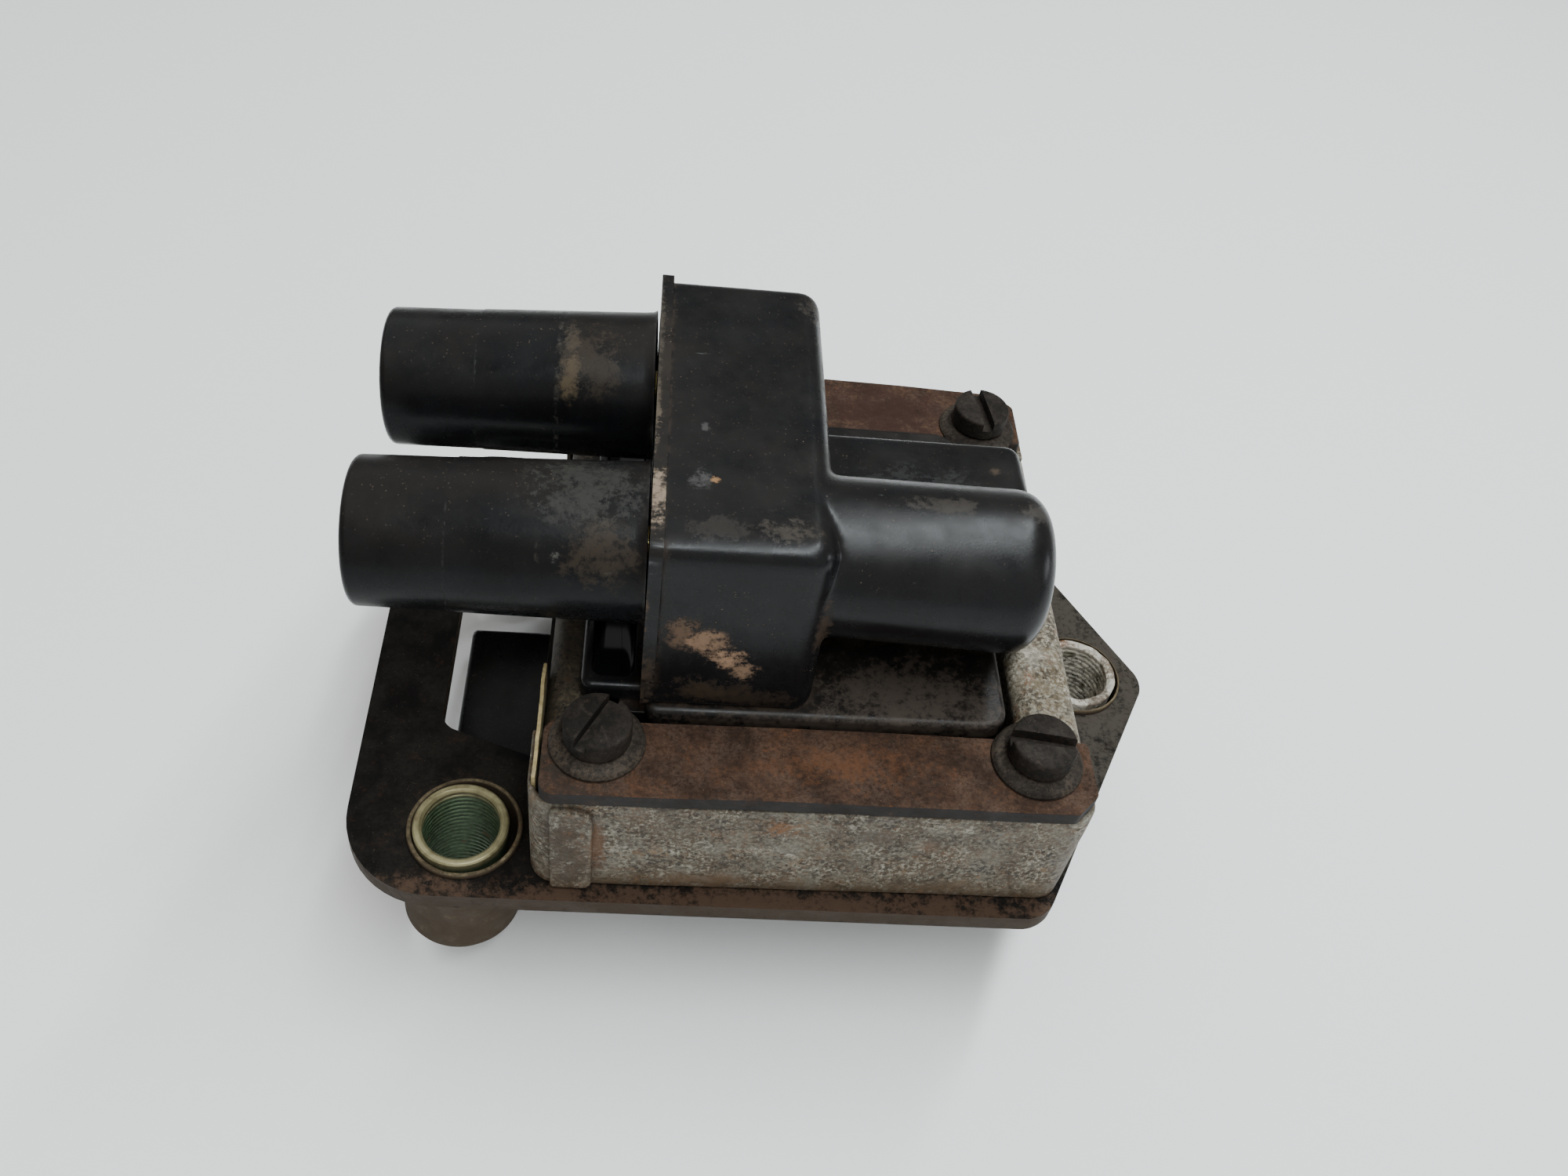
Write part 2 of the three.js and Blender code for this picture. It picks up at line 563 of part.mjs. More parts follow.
function resin() {
  const h = HOUSING;
  const inset = h.wall + 0.2;
  const floor = rectangle(h.left + inset, h.right - inset, inset - h.halfY, h.halfY - inset, 1);
  add('bottom_resin', prism(floor, h.bottom + 0.8, h.bottom + 4), 'resin');
  const edge = 0.2;
  add('pocket_resin', prism(
    rectangle(POCKET.x0 + edge, POCKET.x1 - edge, edge - POCKET.halfY, POCKET.halfY - edge, 1.3),
    POCKET.floor + 0.1, POCKET.floor + 0.8,
  ), 'resin');
}

// ---- build --------------------------------------------------------------------------------------
add('mounting_plate', mountingPlate(), 'rusty_steel');
bushes();
clamping();
add('paper_strip', paperStrip(), 'paper');
add('coil_case', caseBody(), 'black_plastic');
add('top_cover', topCover(), 'black_plastic');
add('tower_flange', towerFlange(), 'black_plastic');
for (const sy of both) add(`tower_${sideName(sy)}`, tower(sy), 'black_plastic');
windings();
highVoltage();
lowVoltage();
resin();

coil.position.set(-(PLATE.left + EAR.tip) / 2, 0, -HOUSING.bottom);
coil.updateMatrixWorld(true);

export default coil;
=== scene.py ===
"""Twin-tower ignition coil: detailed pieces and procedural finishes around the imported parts."""

import math

import bmesh
import bpy
from mathutils import Matrix, Vector, noise


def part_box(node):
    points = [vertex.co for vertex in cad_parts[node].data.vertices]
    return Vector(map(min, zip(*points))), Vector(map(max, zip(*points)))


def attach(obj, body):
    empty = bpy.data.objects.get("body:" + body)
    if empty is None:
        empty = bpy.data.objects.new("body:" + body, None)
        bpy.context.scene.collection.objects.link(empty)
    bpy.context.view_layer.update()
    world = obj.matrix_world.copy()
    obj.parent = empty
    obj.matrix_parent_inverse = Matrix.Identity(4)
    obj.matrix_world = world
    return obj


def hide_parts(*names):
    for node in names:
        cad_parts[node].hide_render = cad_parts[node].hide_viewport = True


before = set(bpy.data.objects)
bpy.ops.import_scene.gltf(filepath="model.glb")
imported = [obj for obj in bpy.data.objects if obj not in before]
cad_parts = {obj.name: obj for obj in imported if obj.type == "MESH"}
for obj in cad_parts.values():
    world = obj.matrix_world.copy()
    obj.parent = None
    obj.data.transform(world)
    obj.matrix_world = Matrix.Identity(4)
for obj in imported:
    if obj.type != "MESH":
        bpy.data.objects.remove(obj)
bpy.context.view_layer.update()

bl_info = {
    "name": "Ignition coil",
    "version": (1, 0, 0),
    "blender": (4, 5, 0),
    "location": "View3D > Sidebar > Coil",
    "description": "Builds the visible pieces, finishes and stage of a twin-tower ignition coil",
    "category": "Object",
}

MM = 0.001
SEED = 7  # fixes the noise that ripples the pieces
PLATE_LOW, PLATE_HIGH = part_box("mounting_plate")
# Every size below is in the coil's own millimetres: x = y = 0 at the middle of the iron core, z = 0 on top of
# the mounting plate, the towers pointing to -x and the front at -y.
PLATE_LEFT, PLATE_UNDER = -61.9, -3
CORE_FOOT = 0.3
CLEAR = 2  # how far a cutter runs past the face it cuts
WASHER_SEAT = 22.35
SEAM = 24.2  # where the cover and the flange stand on the case
BLOCK_LEFT, BLOCK_RIGHT = -22.4, -1.2
TOWER_START, TOWER_Y, AXIS_Z = -22.9, 14.8, 41
OFFSET = Vector((PLATE_LOW.x - PLATE_LEFT * MM, (PLATE_LOW.y + PLATE_HIGH.y) / 2, PLATE_HIGH.z))
TO_FRAME = Matrix.Translation(OFFSET) @ Matrix.Scale(MM, 4)
ALONG_X = Matrix(((0, 0, 1, 0), (1, 0, 0, 0), (0, 1, 0, 0), (0, 0, 0, 1)))
ALONG_Y = Matrix(((1, 0, 0, 0), (0, 0, -1, 0), (0, 1, 0, 0), (0, 0, 0, 1)))
# Each screw: its centre and the angle of its slot in degrees.
SCREWS = {"left_front": (-28.3, -32, 62), "right_front": (28.3, -32, -8),
          "left_back": (-28.3, 32, 25), "right_back": (28.3, 32, 98)}
# Each bush: its centre, how far its sleeve sits off centre, how far it leans at its foot, its flange radius.
BUSHES = {"front": (-45.8, -31.7, -0.5, -1.2, 7.8), "back": (-45.8, 31.7, 0.2, 0, 7.8),
          "ear": (45, 0, 0.1, 0, 7.5)}


# ---- shaping ------------------------------------------------------------------------------------
def slab(corners, low, high, turn=None, segments=8):
    """A plate with rounded corners, pulled from low to high. Corners are (x, y, radius)."""
    bm = bmesh.new()
    verts = [bm.verts.new((c[0], c[1], low)) for c in corners]
    bm.faces.new(verts)
    count = len(corners)
    for i, corner in enumerate(corners):
        if len(corner) < 3 or not corner[2]:
            continue
        here = Vector(corner[:2])
        back = (Vector(corners[i - 1][:2]) - here).normalized()
        ahead = (Vector(corners[(i + 1) % count][:2]) - here).normalized()
        reach = corner[2] / math.tan(back.angle(ahead) / 2)
        bmesh.ops.bevel(bm, geom=[verts[i]], offset=reach, offset_type="OFFSET", segments=segments,
                        profile=0.5, affect="VERTICES", material=-1)
    pulled = bmesh.ops.extrude_face_region(bm, geom=bm.faces[:])
    moved = [v for v in pulled["geom"] if isinstance(v, bmesh.types.BMVert)]
    bmesh.ops.translate(bm, verts=moved, vec=(0, 0, high - low))
    if turn:
        bmesh.ops.transform(bm, matrix=turn, verts=bm.verts)
        if turn is ALONG_Y:
            bmesh.ops.translate(bm, verts=bm.verts, vec=(0, low + high, 0))
    bmesh.ops.recalc_face_normals(bm, faces=bm.faces[:])
    return bm


def box(x0, x1, y0, y1, radius=0):
    """The corners of a rectangle."""
    return [(x0, y0, radius), (x1, y0, radius), (x1, y1, radius), (x0, y1, radius)]


def arc(radius, height, size, start, end, steps=6):
    """Profile points on an arc about (radius, height), angles in degrees."""
    points = []
    for i in range(steps + 1):
        a = math.radians(start + (end - start) * i / steps)
        points.append((radius + size * math.cos(a), height + size * math.sin(a)))
    return points


def turned(profile, closed=False, steps=96):
    """A profile of (radius, height) points spun about the vertical axis."""
    bm = bmesh.new()
    verts = [bm.verts.new((r, 0, z)) for r, z in profile]
    pairs = list(zip(verts, verts[1:]))
    if closed:
        pairs.append((verts[-1], verts[0]))
    edges = [bm.edges.new(pair) for pair in pairs]
    bmesh.ops.spin(bm, geom=verts + edges, cent=(0, 0, 0), axis=(0, 0, 1), angle=math.tau, steps=steps,
                   use_merge=True, use_duplicate=False)
    bmesh.ops.remove_doubles(bm, verts=bm.verts[:], dist=1e-4)
    bmesh.ops.recalc_face_normals(bm, faces=bm.faces[:])
    return bm


def move(bm, x=0, y=0, z=0, turn=None):
    """Turns a shape, then shifts it."""
    if turn:
        bmesh.ops.transform(bm, matrix=turn, verts=bm.verts)
    bmesh.ops.translate(bm, verts=bm.verts, vec=(x, y, z))
    return bm


def join(*shapes):
    """Several shapes in one."""
    whole = bmesh.new()
    for shape in shapes:
        mesh = bpy.data.meshes.new("joined")
        shape.to_mesh(mesh)
        shape.free()
        whole.from_mesh(mesh)
        bpy.data.meshes.remove(mesh)
    return whole


def slice_up(bm, axis, places):
    """Cuts loops across a shape, so that it can bend."""
    normal = Vector([1 if i == axis else 0 for i in range(3)])
    for place in places:
        geom = bm.verts[:] + bm.edges[:] + bm.faces[:]
        bmesh.ops.bisect_plane(bm, geom=geom, plane_co=normal * place, plane_no=normal)
    return bm


def round_edges(bm, edges, size, segments):
    """Rounds some of a shape's edges."""
    bmesh.ops.bevel(bm, geom=edges, offset=size, offset_type="OFFSET", segments=segments, profile=0.5,
                    affect="EDGES", material=-1)


def end_edges(bm, beyond):
    """The edges round the right end of a shape that stands on the seam, but for the one along its foot."""
    return [e for e in bm.edges if all(v.co.x > beyond for v in e.verts)
            and not all(v.co.z < SEAM + 0.1 for v in e.verts)]


def to_the_back(bm):
    """Mirrors a front shape to the back."""
    bmesh.ops.scale(bm, vec=(1, -1, 1), verts=bm.verts)
    bmesh.ops.recalc_face_normals(bm, faces=bm.faces[:])


def ripple(bm, size, depth, axes=(1, 1, 1)):
    """Moves a shape's points by smooth noise of that size and depth."""
    for v in bm.verts:
        wave = noise.noise_vector(v.co / size) * depth
        v.co += Vector(wave[i] * axes[i] for i in range(3))
    return bm


def object_of(name, bm):
    """A shape as an object at the origin, its place in its mesh."""
    bmesh.ops.transform(bm, matrix=TO_FRAME, verts=bm.verts)
    mesh = bpy.data.meshes.new(name)
    bm.to_mesh(mesh)
    bm.free()
    made = bpy.data.objects.new(name, mesh)
    bpy.context.scene.collection.objects.link(made)
    return made


def settle(made):
    """Applies a piece's modifiers to its mesh."""
    bpy.context.view_layer.update()
    graph = bpy.context.evaluated_depsgraph_get()
    mesh = bpy.data.meshes.new_from_object(made.evaluated_get(graph))
    old = made.data
    made.modifiers.clear()
    made.data = mesh
    mesh.name = made.name
    bpy.data.meshes.remove(old)


def piece(name, bm, finish, stands_for=(), ease=0.3, cuts=(), rounds=3, sharp=50, voxel=0):
    """Finishes a shape as a piece that rides on the body: holes cut, edges eased, smooth shading."""
    made = object_of(name, bm)
    cutters = [object_of(f"{name}_cut_{i}", cut) for i, cut in enumerate(cuts)]
    for cutter in cutters:
        hole = made.modifiers.new("Hole", "BOOLEAN")
        hole.operation = "DIFFERENCE"
        hole.solver = "EXACT"
        hole.object = cutter
    if voxel:
        melt = made.modifiers.new("Melt together", "REMESH")
        melt.mode = "VOXEL"
        melt.voxel_size = voxel * MM
        soften = made.modifiers.new("Soften", "SMOOTH")
        soften.factor = 0.5
        soften.iterations = 10
    if ease:
        bevel = made.modifiers.new("Ease edges", "BEVEL")
        bevel.limit_method = "ANGLE"
        bevel.angle_limit = math.radians(32)
        bevel.width = ease * MM
        bevel.segments = rounds
    settle(made)
    for cutter in cutters:
        mesh = cutter.data
        bpy.data.objects.remove(cutter)
        bpy.data.meshes.remove(mesh)
    made.data.polygons.foreach_set("use_smooth", [True] * len(made.data.polygons))
    made.data.set_sharp_from_angle(angle=math.radians(sharp))
    if not voxel:
        made.modifiers.new("Weighted normals", "WEIGHTED_NORMAL").keep_sharp = True
        settle(made)
    made.data.materials.clear()
    made.data.materials.append(finish)
    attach(made, "root")
    if stands_for:
        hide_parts(*stands_for)
    return made


def refinish(finish, *nodes):
    """Gives CAD nodes whose shape is right a better material."""
    for name in nodes:
        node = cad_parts[name]
        if not node.material_slots:
            node.data.materials.append(finish)
        for place in node.material_slots:
            place.material = finish


# ---- finishes -----------------------------------------------------------------------------------
class Finish:
    """A procedural material, built up one layer of colour at a time."""

    def __init__(self, name, metallic=0.0, specular=0.5):
        self.material = bpy.data.materials.new(name)
        self.material.use_nodes = True
        self.tree = self.material.node_tree
        self.shader = self.tree.nodes["Principled BSDF"]
        self.shader.inputs["Metallic"].default_value = metallic
        self.shader.inputs["Specular IOR Level"].default_value = specular
        self.place = self.add("ShaderNodeTexCoord").outputs["Object"]
        self.colour = None
        self.normal = None

    def add(self, kind, values=None, **settings):
        """A new node, its settings and inputs filled in."""
        node = self.tree.nodes.new(kind)
        for key, value in settings.items():
            setattr(node, key, value)
        for key, value in (values or {}).items():
            self.put(node.inputs[key], value)
        return node

    def put(self, socket, value):
        """Links a socket or sets its constant."""
        if isinstance(value, bpy.types.NodeSocket):
            self.tree.links.new(value, socket)
        elif socket.type == "RGBA" and len(value) == 3:
            socket.default_value = (*value, 1)
        else:
            socket.default_value = value

    def levels(self, value, low, high, start=0.0, end=1.0):
        """Takes low to start and high to end, smoothly."""
        node = self.add("ShaderNodeMapRange", {"Value": value, "From Min": low, "From Max": high,
                                               "To Min": start, "To Max": end})
        node.interpolation_type = "SMOOTHSTEP"
        return node.outputs["Result"]

    def noise(self, size, detail=5, rough=0.6, stretch=(1, 1, 1), shift=0.0, twist=0.0):
        """Noise with features of about that size in millimetres."""
        scale = [s / (size * MM) for s in stretch]
        mapping = self.add("ShaderNodeMapping", {"Vector": self.place, "Scale": scale,
                                                 "Location": (shift, shift * 1.7, -shift)})
        node = self.add("ShaderNodeTexNoise", {"Vector": mapping.outputs["Vector"], "Scale": 1.0,
                                               "Detail": detail, "Roughness": rough, "Distortion": twist})
        return node.outputs["Fac"]

    def spots(self, size, low, high, **kind):
        """Noise with its contrast raised: 0 below low, 1 above high."""
        return self.levels(self.noise(size, **kind), low, high)

    def grains(self, size, low, high):
        """Separate round grains: 1 at a grain's middle."""
        mapping = self.add("ShaderNodeMapping", {"Vector": self.place, "Scale": [1 / (size * MM)] * 3})
        node = self.add("ShaderNodeTexVoronoi", {"Vector": mapping.outputs["Vector"], "Scale": 1.0})
        return self.levels(node.outputs["Distance"], high, low)

    def mix(self, amount, first, second):
        """The second colour laid over the first."""
        node = self.add("ShaderNodeMix", data_type="RGBA")
        for index, value in ((0, amount), (6, first), (7, second)):
            self.put(node.inputs[index], value)
        return node.outputs[2]

    def maths(self, operation, first, second, clamp=True):
        """One sum, kept between 0 and 1 unless told otherwise."""
        node = self.add("ShaderNodeMath", {0: first, 1: second}, operation=operation, use_clamp=clamp)
        return node.outputs[0]

    def both(self, *values):
        """Where all the masks overlap."""
        total = values[0]
        for value in values[1:]:
            total = self.maths("MULTIPLY", total, value)
        return total

    def either(self, *values):
        """Where any of the masks lies."""
        total = values[0]
        for value in values[1:]:
            total = self.maths("MAXIMUM", total, value)
        return total

    def facing(self, axis, low, high):
        """How far the surface faces along an axis of the frame."""
        normal = self.add("ShaderNodeNewGeometry").outputs["Normal"]
        parts = self.add("ShaderNodeSeparateXYZ", {"Vector": normal})
        return self.levels(parts.outputs[axis], low, high)

    def height(self, axis, low, high):
        """A ramp along an axis, in the coil's own millimetres."""
        parts = self.add("ShaderNodeSeparateXYZ", {"Vector": self.place})
        shift = OFFSET["XYZ".index(axis)]
        return self.levels(parts.outputs[axis], low * MM + shift, high * MM + shift)

    def edges(self, low, high):
        """Edges that stick out, where wear starts."""
        return self.levels(self.add("ShaderNodeNewGeometry").outputs["Pointiness"], low, high)

    def corners(self, reach):
        """Crevices: 1 deep inside them. The mouldings take dust there, and the zinc takes painted shade."""
        node = self.add("ShaderNodeAmbientOcclusion", {"Distance": reach * MM}, samples=6)
        return self.levels(node.outputs["AO"], 0.95, 0.35)

    def patch(self, centre, size):
        """A blotch at a point, in the coil's own millimetres, fading from its middle."""
        middle = TO_FRAME @ Vector(centre)
        moved = self.add("ShaderNodeVectorMath", {0: self.place, 1: middle}, operation="SUBTRACT")
        scaled = self.add("ShaderNodeVectorMath", {0: moved.outputs[0], 1: [s * MM for s in size]},
                          operation="DIVIDE")
        length = self.add("ShaderNodeVectorMath", {0: scaled.outputs[0]}, operation="LENGTH")
        return self.levels(length.outputs["Value"], 1.0, 0.0)

    def stain(self, centre, size, strength, grit=0.9, spread=False):
        """A ragged stain, solid at its middle and in specks at its border, or spread all over."""
        body = self.patch(centre, size)
        fine = self.spots(grit, 0.32, 0.68, detail=9, rough=0.78, shift=centre[0] + centre[1])
        broad = self.levels(self.noise(grit * 4, detail=3, shift=centre[2]), 0.3, 0.7, 0.0, 0.6)
        whole = self.maths("ADD", self.maths("ADD", body, fine, clamp=False), broad, clamp=False)
        ragged = self.levels(whole, 1.0, 1.85)
        if spread:
            return self.both(ragged, strength)
        return self.both(ragged, self.levels(body, 0.0, 0.4), strength)

    def lay(self, tint, *masks):
        """Lays a colour over what is there, where all the masks overlap."""
        self.colour = self.mix(self.both(*masks), self.colour, tint)

    def stains(self, stains, **kind):
        """Lays on stains, each a centre, size, tint and strength, and returns their masks."""
        masks = []
        for centre, size, tint, strength in stains:
            masks.append(self.stain(centre, size, strength, **kind))
            self.lay(tint, masks[-1])
        return masks

    def relief(self, height, depth):
        """Adds bumps of that depth in millimetres."""
        values = {"Height": height, "Distance": depth * MM, "Strength": 1.0}
        if self.normal:
            values["Normal"] = self.normal
        self.normal = self.add("ShaderNodeBump", values).outputs["Normal"]

    def done(self, roughness):
        """Plugs the layers into the shader and hands over the material."""
        self.put(self.shader.inputs["Base Color"], self.colour)
        self.put(self.shader.inputs["Roughness"], roughness)
        if self.normal:
            self.put(self.shader.inputs["Normal"], self.normal)
        return self.material


def dimmed(colour, share):
    """A colour made darker, or lighter for a share above 1."""
    return [c * share for c in colour]


def black_moulding(name, look, dusty=0.5, stains=(), lines=(), pale_edges=0.12, gloss=0.17):
    """Satin black plastic with a film of dust, brown grains, light scuffs, pale edges and ragged stains; on
    the flange the pale edges are a painted highlight.
    """
    f = Finish(name, specular=gloss)
    f.colour = look.plastic
    f.lay(dimmed(look.plastic, 1.6), f.spots(9, 0.35, 0.7, detail=4))
    film = f.both(f.facing("Z", -0.2, 1.0), f.spots(12, 0.3, 0.72, detail=8, rough=0.7), dusty)
    f.lay(dimmed(look.dust, 0.13), film)
    grain_zone = f.either(f.spots(7, 0.54, 0.74, shift=3.1), f.both(f.facing("Z", 0.3, 1.0), dusty, 0.7))
    grain = f.both(f.grains(0.5, 0.1, 0.3), grain_zone, f.spots(0.8, 0.5, 0.6, shift=7))
    f.lay(look.dust, grain, 0.8)
    crevice = f.both(f.corners(1.8), f.spots(1.6, 0.38, 0.62, shift=1.3, detail=8))
    f.lay(look.dirt, crevice, 0.65)
    scuffs = f.spots(0.4, 0.62, 0.7, stretch=(0.12, 1, 1), detail=8)
    f.lay(look.scuff_and_highlight, scuffs, f.spots(4, 0.6, 0.7, shift=9), 0.4)
    # Pale edges that stick out: edge wear, and where strong, as on the flange, a painted highlight along the
    # rounded edge.
    f.lay(look.scuff_and_highlight, f.edges(0.53, 0.62), f.spots(1.4, 0.34, 0.6, shift=15, detail=7), pale_edges)
    dull = f.either(film, grain, crevice, *f.stains(stains))
    for place, width, tint in lines:
        band = f.maths("SUBTRACT", f.height("X", place - width, place), f.height("X", place, place + width))
        dust_line = f.both(band, f.spots(0.8, 0.44, 0.62, detail=8, shift=place), f.spots(8, 0.42, 0.6))
        f.lay(tint, dust_line, 0.6)
        dull = f.either(dull, dust_line)
    f.relief(f.noise(0.3, detail=3), 0.01)
    f.relief(f.noise(9, detail=2, shift=2), 0.05)
    f.relief(dull, 0.02)
    satin = f.levels(f.noise(3, detail=8, shift=5), 0.3, 0.75, 0.21, 0.3)
    return f.done(f.maths("ADD", satin, f.both(dull, 0.38)))


def rusty(name, base, deep, orange, pale, specks=0.5, patches=(), pale_edges=0.3, bloomed=0.5, film=None,
          spread=False, sides=None):
    """Coated steel gone to rust: dark and brown mottling under fine grain, rust bloom, pale specks, and a
    side colour on faces that do not face up, painted shade where it is darker.
    """
    f = Finish(name, specular=0.13)
    mottle = f.noise(6, detail=10, rough=0.7, twist=0.3)
    fine = f.noise(0.55, detail=8, rough=0.74, shift=8)
    f.colour = deep
    f.lay(base, f.levels(mottle, 0.38, 0.62))
    f.lay(dimmed(deep, 0.5), f.levels(fine, 0.4, 0.64, 0.0, 0.7))
    if film:
        cloudy = f.spots(4.5, 0.44, 0.62, detail=9, rough=0.7, shift=2.2)
        f.lay(film, cloudy, f.levels(fine, 0.62, 0.4), 0.7)
    blooms = f.spots(3.0, 0.56, 0.68, detail=9, rough=0.7, shift=4.2)
    f.lay(orange, blooms, f.spots(0.6, 0.42, 0.6, detail=5), bloomed)
    speck = f.both(f.grains(0.45, 0.06, 0.24), f.spots(1.1, 0.5, 0.62, shift=6), specks)
    f.lay(pale, speck)
    f.lay(pale, f.edges(0.52, 0.6), f.spots(1.2, 0.42, 0.6, shift=2, detail=7), pale_edges)
    f.stains(patches, spread=spread)
    # Faces that do not face up take the side colour: painted shade on the bars and collars, where it is
    # darker; the rust brown of the plate's edges, where it is lighter.
    if sides:
        f.lay(sides, f.facing("Z", 0.9, 0.45), f.spots(1.6, 0.24, 0.5, detail=8, rough=0.7, shift=18))
    f.relief(fine, 0.05)
    f.relief(mottle, 0.1)
    f.relief(speck, 0.03)
    return f.done(f.levels(mottle, 0.3, 0.7, 0.86, 0.6))


def weathered_zinc(name, base, white, film, rust, dark, patches=(), low_band=None, metal=0.35):
    """Galvanised sheet: grey and white blooms under a brown film, with rust spots and pits, and painted shade
    in its crevices.
    """
    f = Finish(name, metallic=metal, specular=0.3)
    cloud = f.noise(5, detail=10, rough=0.72, twist=0.5)
    fine = f.noise(0.6, detail=9, rough=0.76, shift=2.4)
    f.colour = dimmed(base, 0.6)
    f.lay(base, f.levels(fine, 0.4, 0.6))
    f.lay(white, f.levels(cloud, 0.47, 0.6), f.levels(fine, 0.44, 0.56))
    brown = f.spots(6.5, 0.42, 0.58, detail=9, rough=0.7, shift=5.5)
    f.lay(film, brown, f.levels(fine, 0.6, 0.42), 0.9)
    rust_spots = f.spots(3.4, 0.54, 0.66, detail=8, rough=0.7, shift=9.1)
    f.lay(rust, rust_spots, f.spots(0.5, 0.4, 0.58, shift=1), 0.75)
    grime = f.spots(8, 0.42, 0.6, detail=7, rough=0.66, shift=21)
    f.lay(dimmed(film, 0.62), grime, f.levels(fine, 0.64, 0.4), 0.8)
    pit = f.both(f.spots(0.6, 0.51, 0.58, detail=6, shift=12), f.spots(4, 0.4, 0.56, shift=14, detail=8))
    f.lay(dark, pit, 0.85)
    # Painted shade: the dark colour laid into every crevice, such as the strap's top under the clamp bar.
    f.lay(dark, f.corners(1.6), 0.6)
    if low_band:
        splash = f.height("Z", low_band, low_band * 0.25)
        f.lay(film, splash, f.spots(2.6, 0.3, 0.6, shift=3, detail=8), 0.7)
    f.stains(patches, spread=True)
    f.relief(fine, 0.05)
    f.relief(cloud, 0.14)
    f.relief(pit, -0.05)
    return f.done(f.levels(cloud, 0.3, 0.7, 0.48, 0.75))


def plated(name, base, tarnish, rust, rough=0.34, corroded=0.0, bore=None, patches=()):
    """Thin plating on steel, dulled, with corrosion blooming through and a tinted bore."""
    f = Finish(name, metallic=0.55, specular=0.4)
    fine = f.noise(0.6, detail=7, rough=0.7)
    cloud = f.noise(2.4, detail=7, shift=3)
    f.colour = base
    f.lay(tarnish, f.levels(cloud, 0.4, 0.65))
    if bore:
        f.lay(f.mix(f.levels(fine, 0.35, 0.65), bore, dimmed(bore, 1.8)), f.height("Z", 0.7, -0.6))
    bloom = f.both(f.levels(cloud, 0.6 - 0.35 * corroded, 0.75 - 0.3 * corroded), f.levels(fine, 0.3, 0.55))
    f.lay(rust, bloom)
    f.stains(patches, grit=0.7)
    f.relief(fine, 0.03)
    f.relief(bloom, 0.05 + 0.1 * corroded)
    streak = f.spots(1.0, 0.45, 0.7, stretch=(1, 1, 0.1), detail=5, shift=6)
    return f.done(f.maths("ADD", f.levels(streak, 0, 1, rough, rough + 0.2), f.both(bloom, 0.35)))


def plain_mottle(name, first, second, size, rough, metallic=0.0, depth=0.03, stretch=(1, 1, 1)):
    """A simpler two-tone finish for pieces mostly out of sight."""
    f = Finish(name, metallic=metallic, specular=0.45)
    fine = f.noise(size, detail=7, rough=0.65, stretch=stretch)
    f.colour = first
    f.lay(second, f.levels(fine, 0.35, 0.65))
    f.lay((0.1, 0.08, 0.06), f.facing("Z", 0.1, 1), f.spots(2, 0.5, 0.7, shift=4), 0.5)
    f.relief(fine, depth)
    return f.done(f.levels(fine, 0.3, 0.7, rough, rough + 0.14))


def glossy_resin(look):
    """Potting compound: near-black, almost a mirror, with a little dust."""
    f = Finish("glossy_resin", specular=0.14)
    dust = f.both(f.grains(0.6, 0.06, 0.2), f.spots(3, 0.5, 0.65))
    f.colour = look.resin
    f.lay(look.dust, dust, 0.6)
    return f.done(f.levels(dust, 0, 1, 0.08, 0.5))


# ---- settings -----------------------------------------------------------------------------------
def colour_property(name, description, default):
    return bpy.props.FloatVectorProperty(name=name, description=description, default=default,
                                         subtype="COLOR", size=3, min=0.0, max=1.0)


def length_property(name, description, default):
    return bpy.props.FloatProperty(name=name, description=description, default=default * MM,
                                   unit="LENGTH", min=0.0)


class CoilColours(bpy.types.PropertyGroup):
    plastic: colour_property("Plastic", "Black of the mouldings", (0.0042, 0.0044, 0.0049))
    resin: colour_property("Resin", "Black of the potting compound", (0.004, 0.004, 0.005))
    dust: colour_property("Dust", "Dry brown dust grains", (0.15, 0.112, 0.08))
    dirt: colour_property("Dirt", "Dirt in the crevices", (0.05, 0.034, 0.023))
    tan: colour_property("Tan", "Clay-coloured stains", (0.26, 0.162, 0.1))
    # The scuff colour also paints the pale edges: wear, and on the flange a painted highlight.
    scuff_and_highlight: colour_property("Scuff", "Pale scuffs on the mouldings", (0.12, 0.12, 0.12))
    rust: colour_property("Rust", "Brown rust of the clamp bars", (0.068, 0.034, 0.019))
    orange: colour_property("Orange", "Fresh rust", (0.15, 0.052, 0.016))
    plate: colour_property("Plate", "Brown of the mounting plate", (0.0085, 0.0066, 0.0044))
    zinc: colour_property("Zinc", "Grey of the galvanised sheet", (0.165, 0.153, 0.12))
    bloom: colour_property("Bloom", "White corrosion", (0.33, 0.315, 0.26))


class CoilSizes(bpy.types.PropertyGroup):
    plate_ease: length_property("Plate edge", "Rounding of the plate's edges", 0.45)
    bar_bow: length_property("Bar bow", "Rise of each clamp bar at its middle", 0.28)
    corner: length_property("Block corner", "Rounding of the tower block", 3.0)
    slot: length_property("Screw slot", "Width of the screw slots", 1.7)
    thread: length_property("Sleeve grooves", "Spacing of the grooves in the sleeves", 0.95)
    melt: length_property("Moulding grid", "Grid that melts the cover's bodies together", 0.4)


class CoilStage(bpy.types.PropertyGroup):
    floor: colour_property("Floor", "Colour of the floor", (0.88, 0.88, 0.87))
    lens: bpy.props.FloatProperty(name="Lens", description="Focal length of the camera", default=31.19,
                                  unit="CAMERA")
    turn: bpy.props.FloatProperty(name="Turn", description="Heading of the view", subtype="ANGLE",
                                  default=math.radians(9.37))
    tilt: bpy.props.FloatProperty(name="Tilt", description="Downward tilt of the view", subtype="ANGLE",
                                  default=math.radians(48.01))
    roll: bpy.props.FloatProperty(name="Roll", description="Roll of the view", subtype="ANGLE",
                                  default=math.radians(10.23))


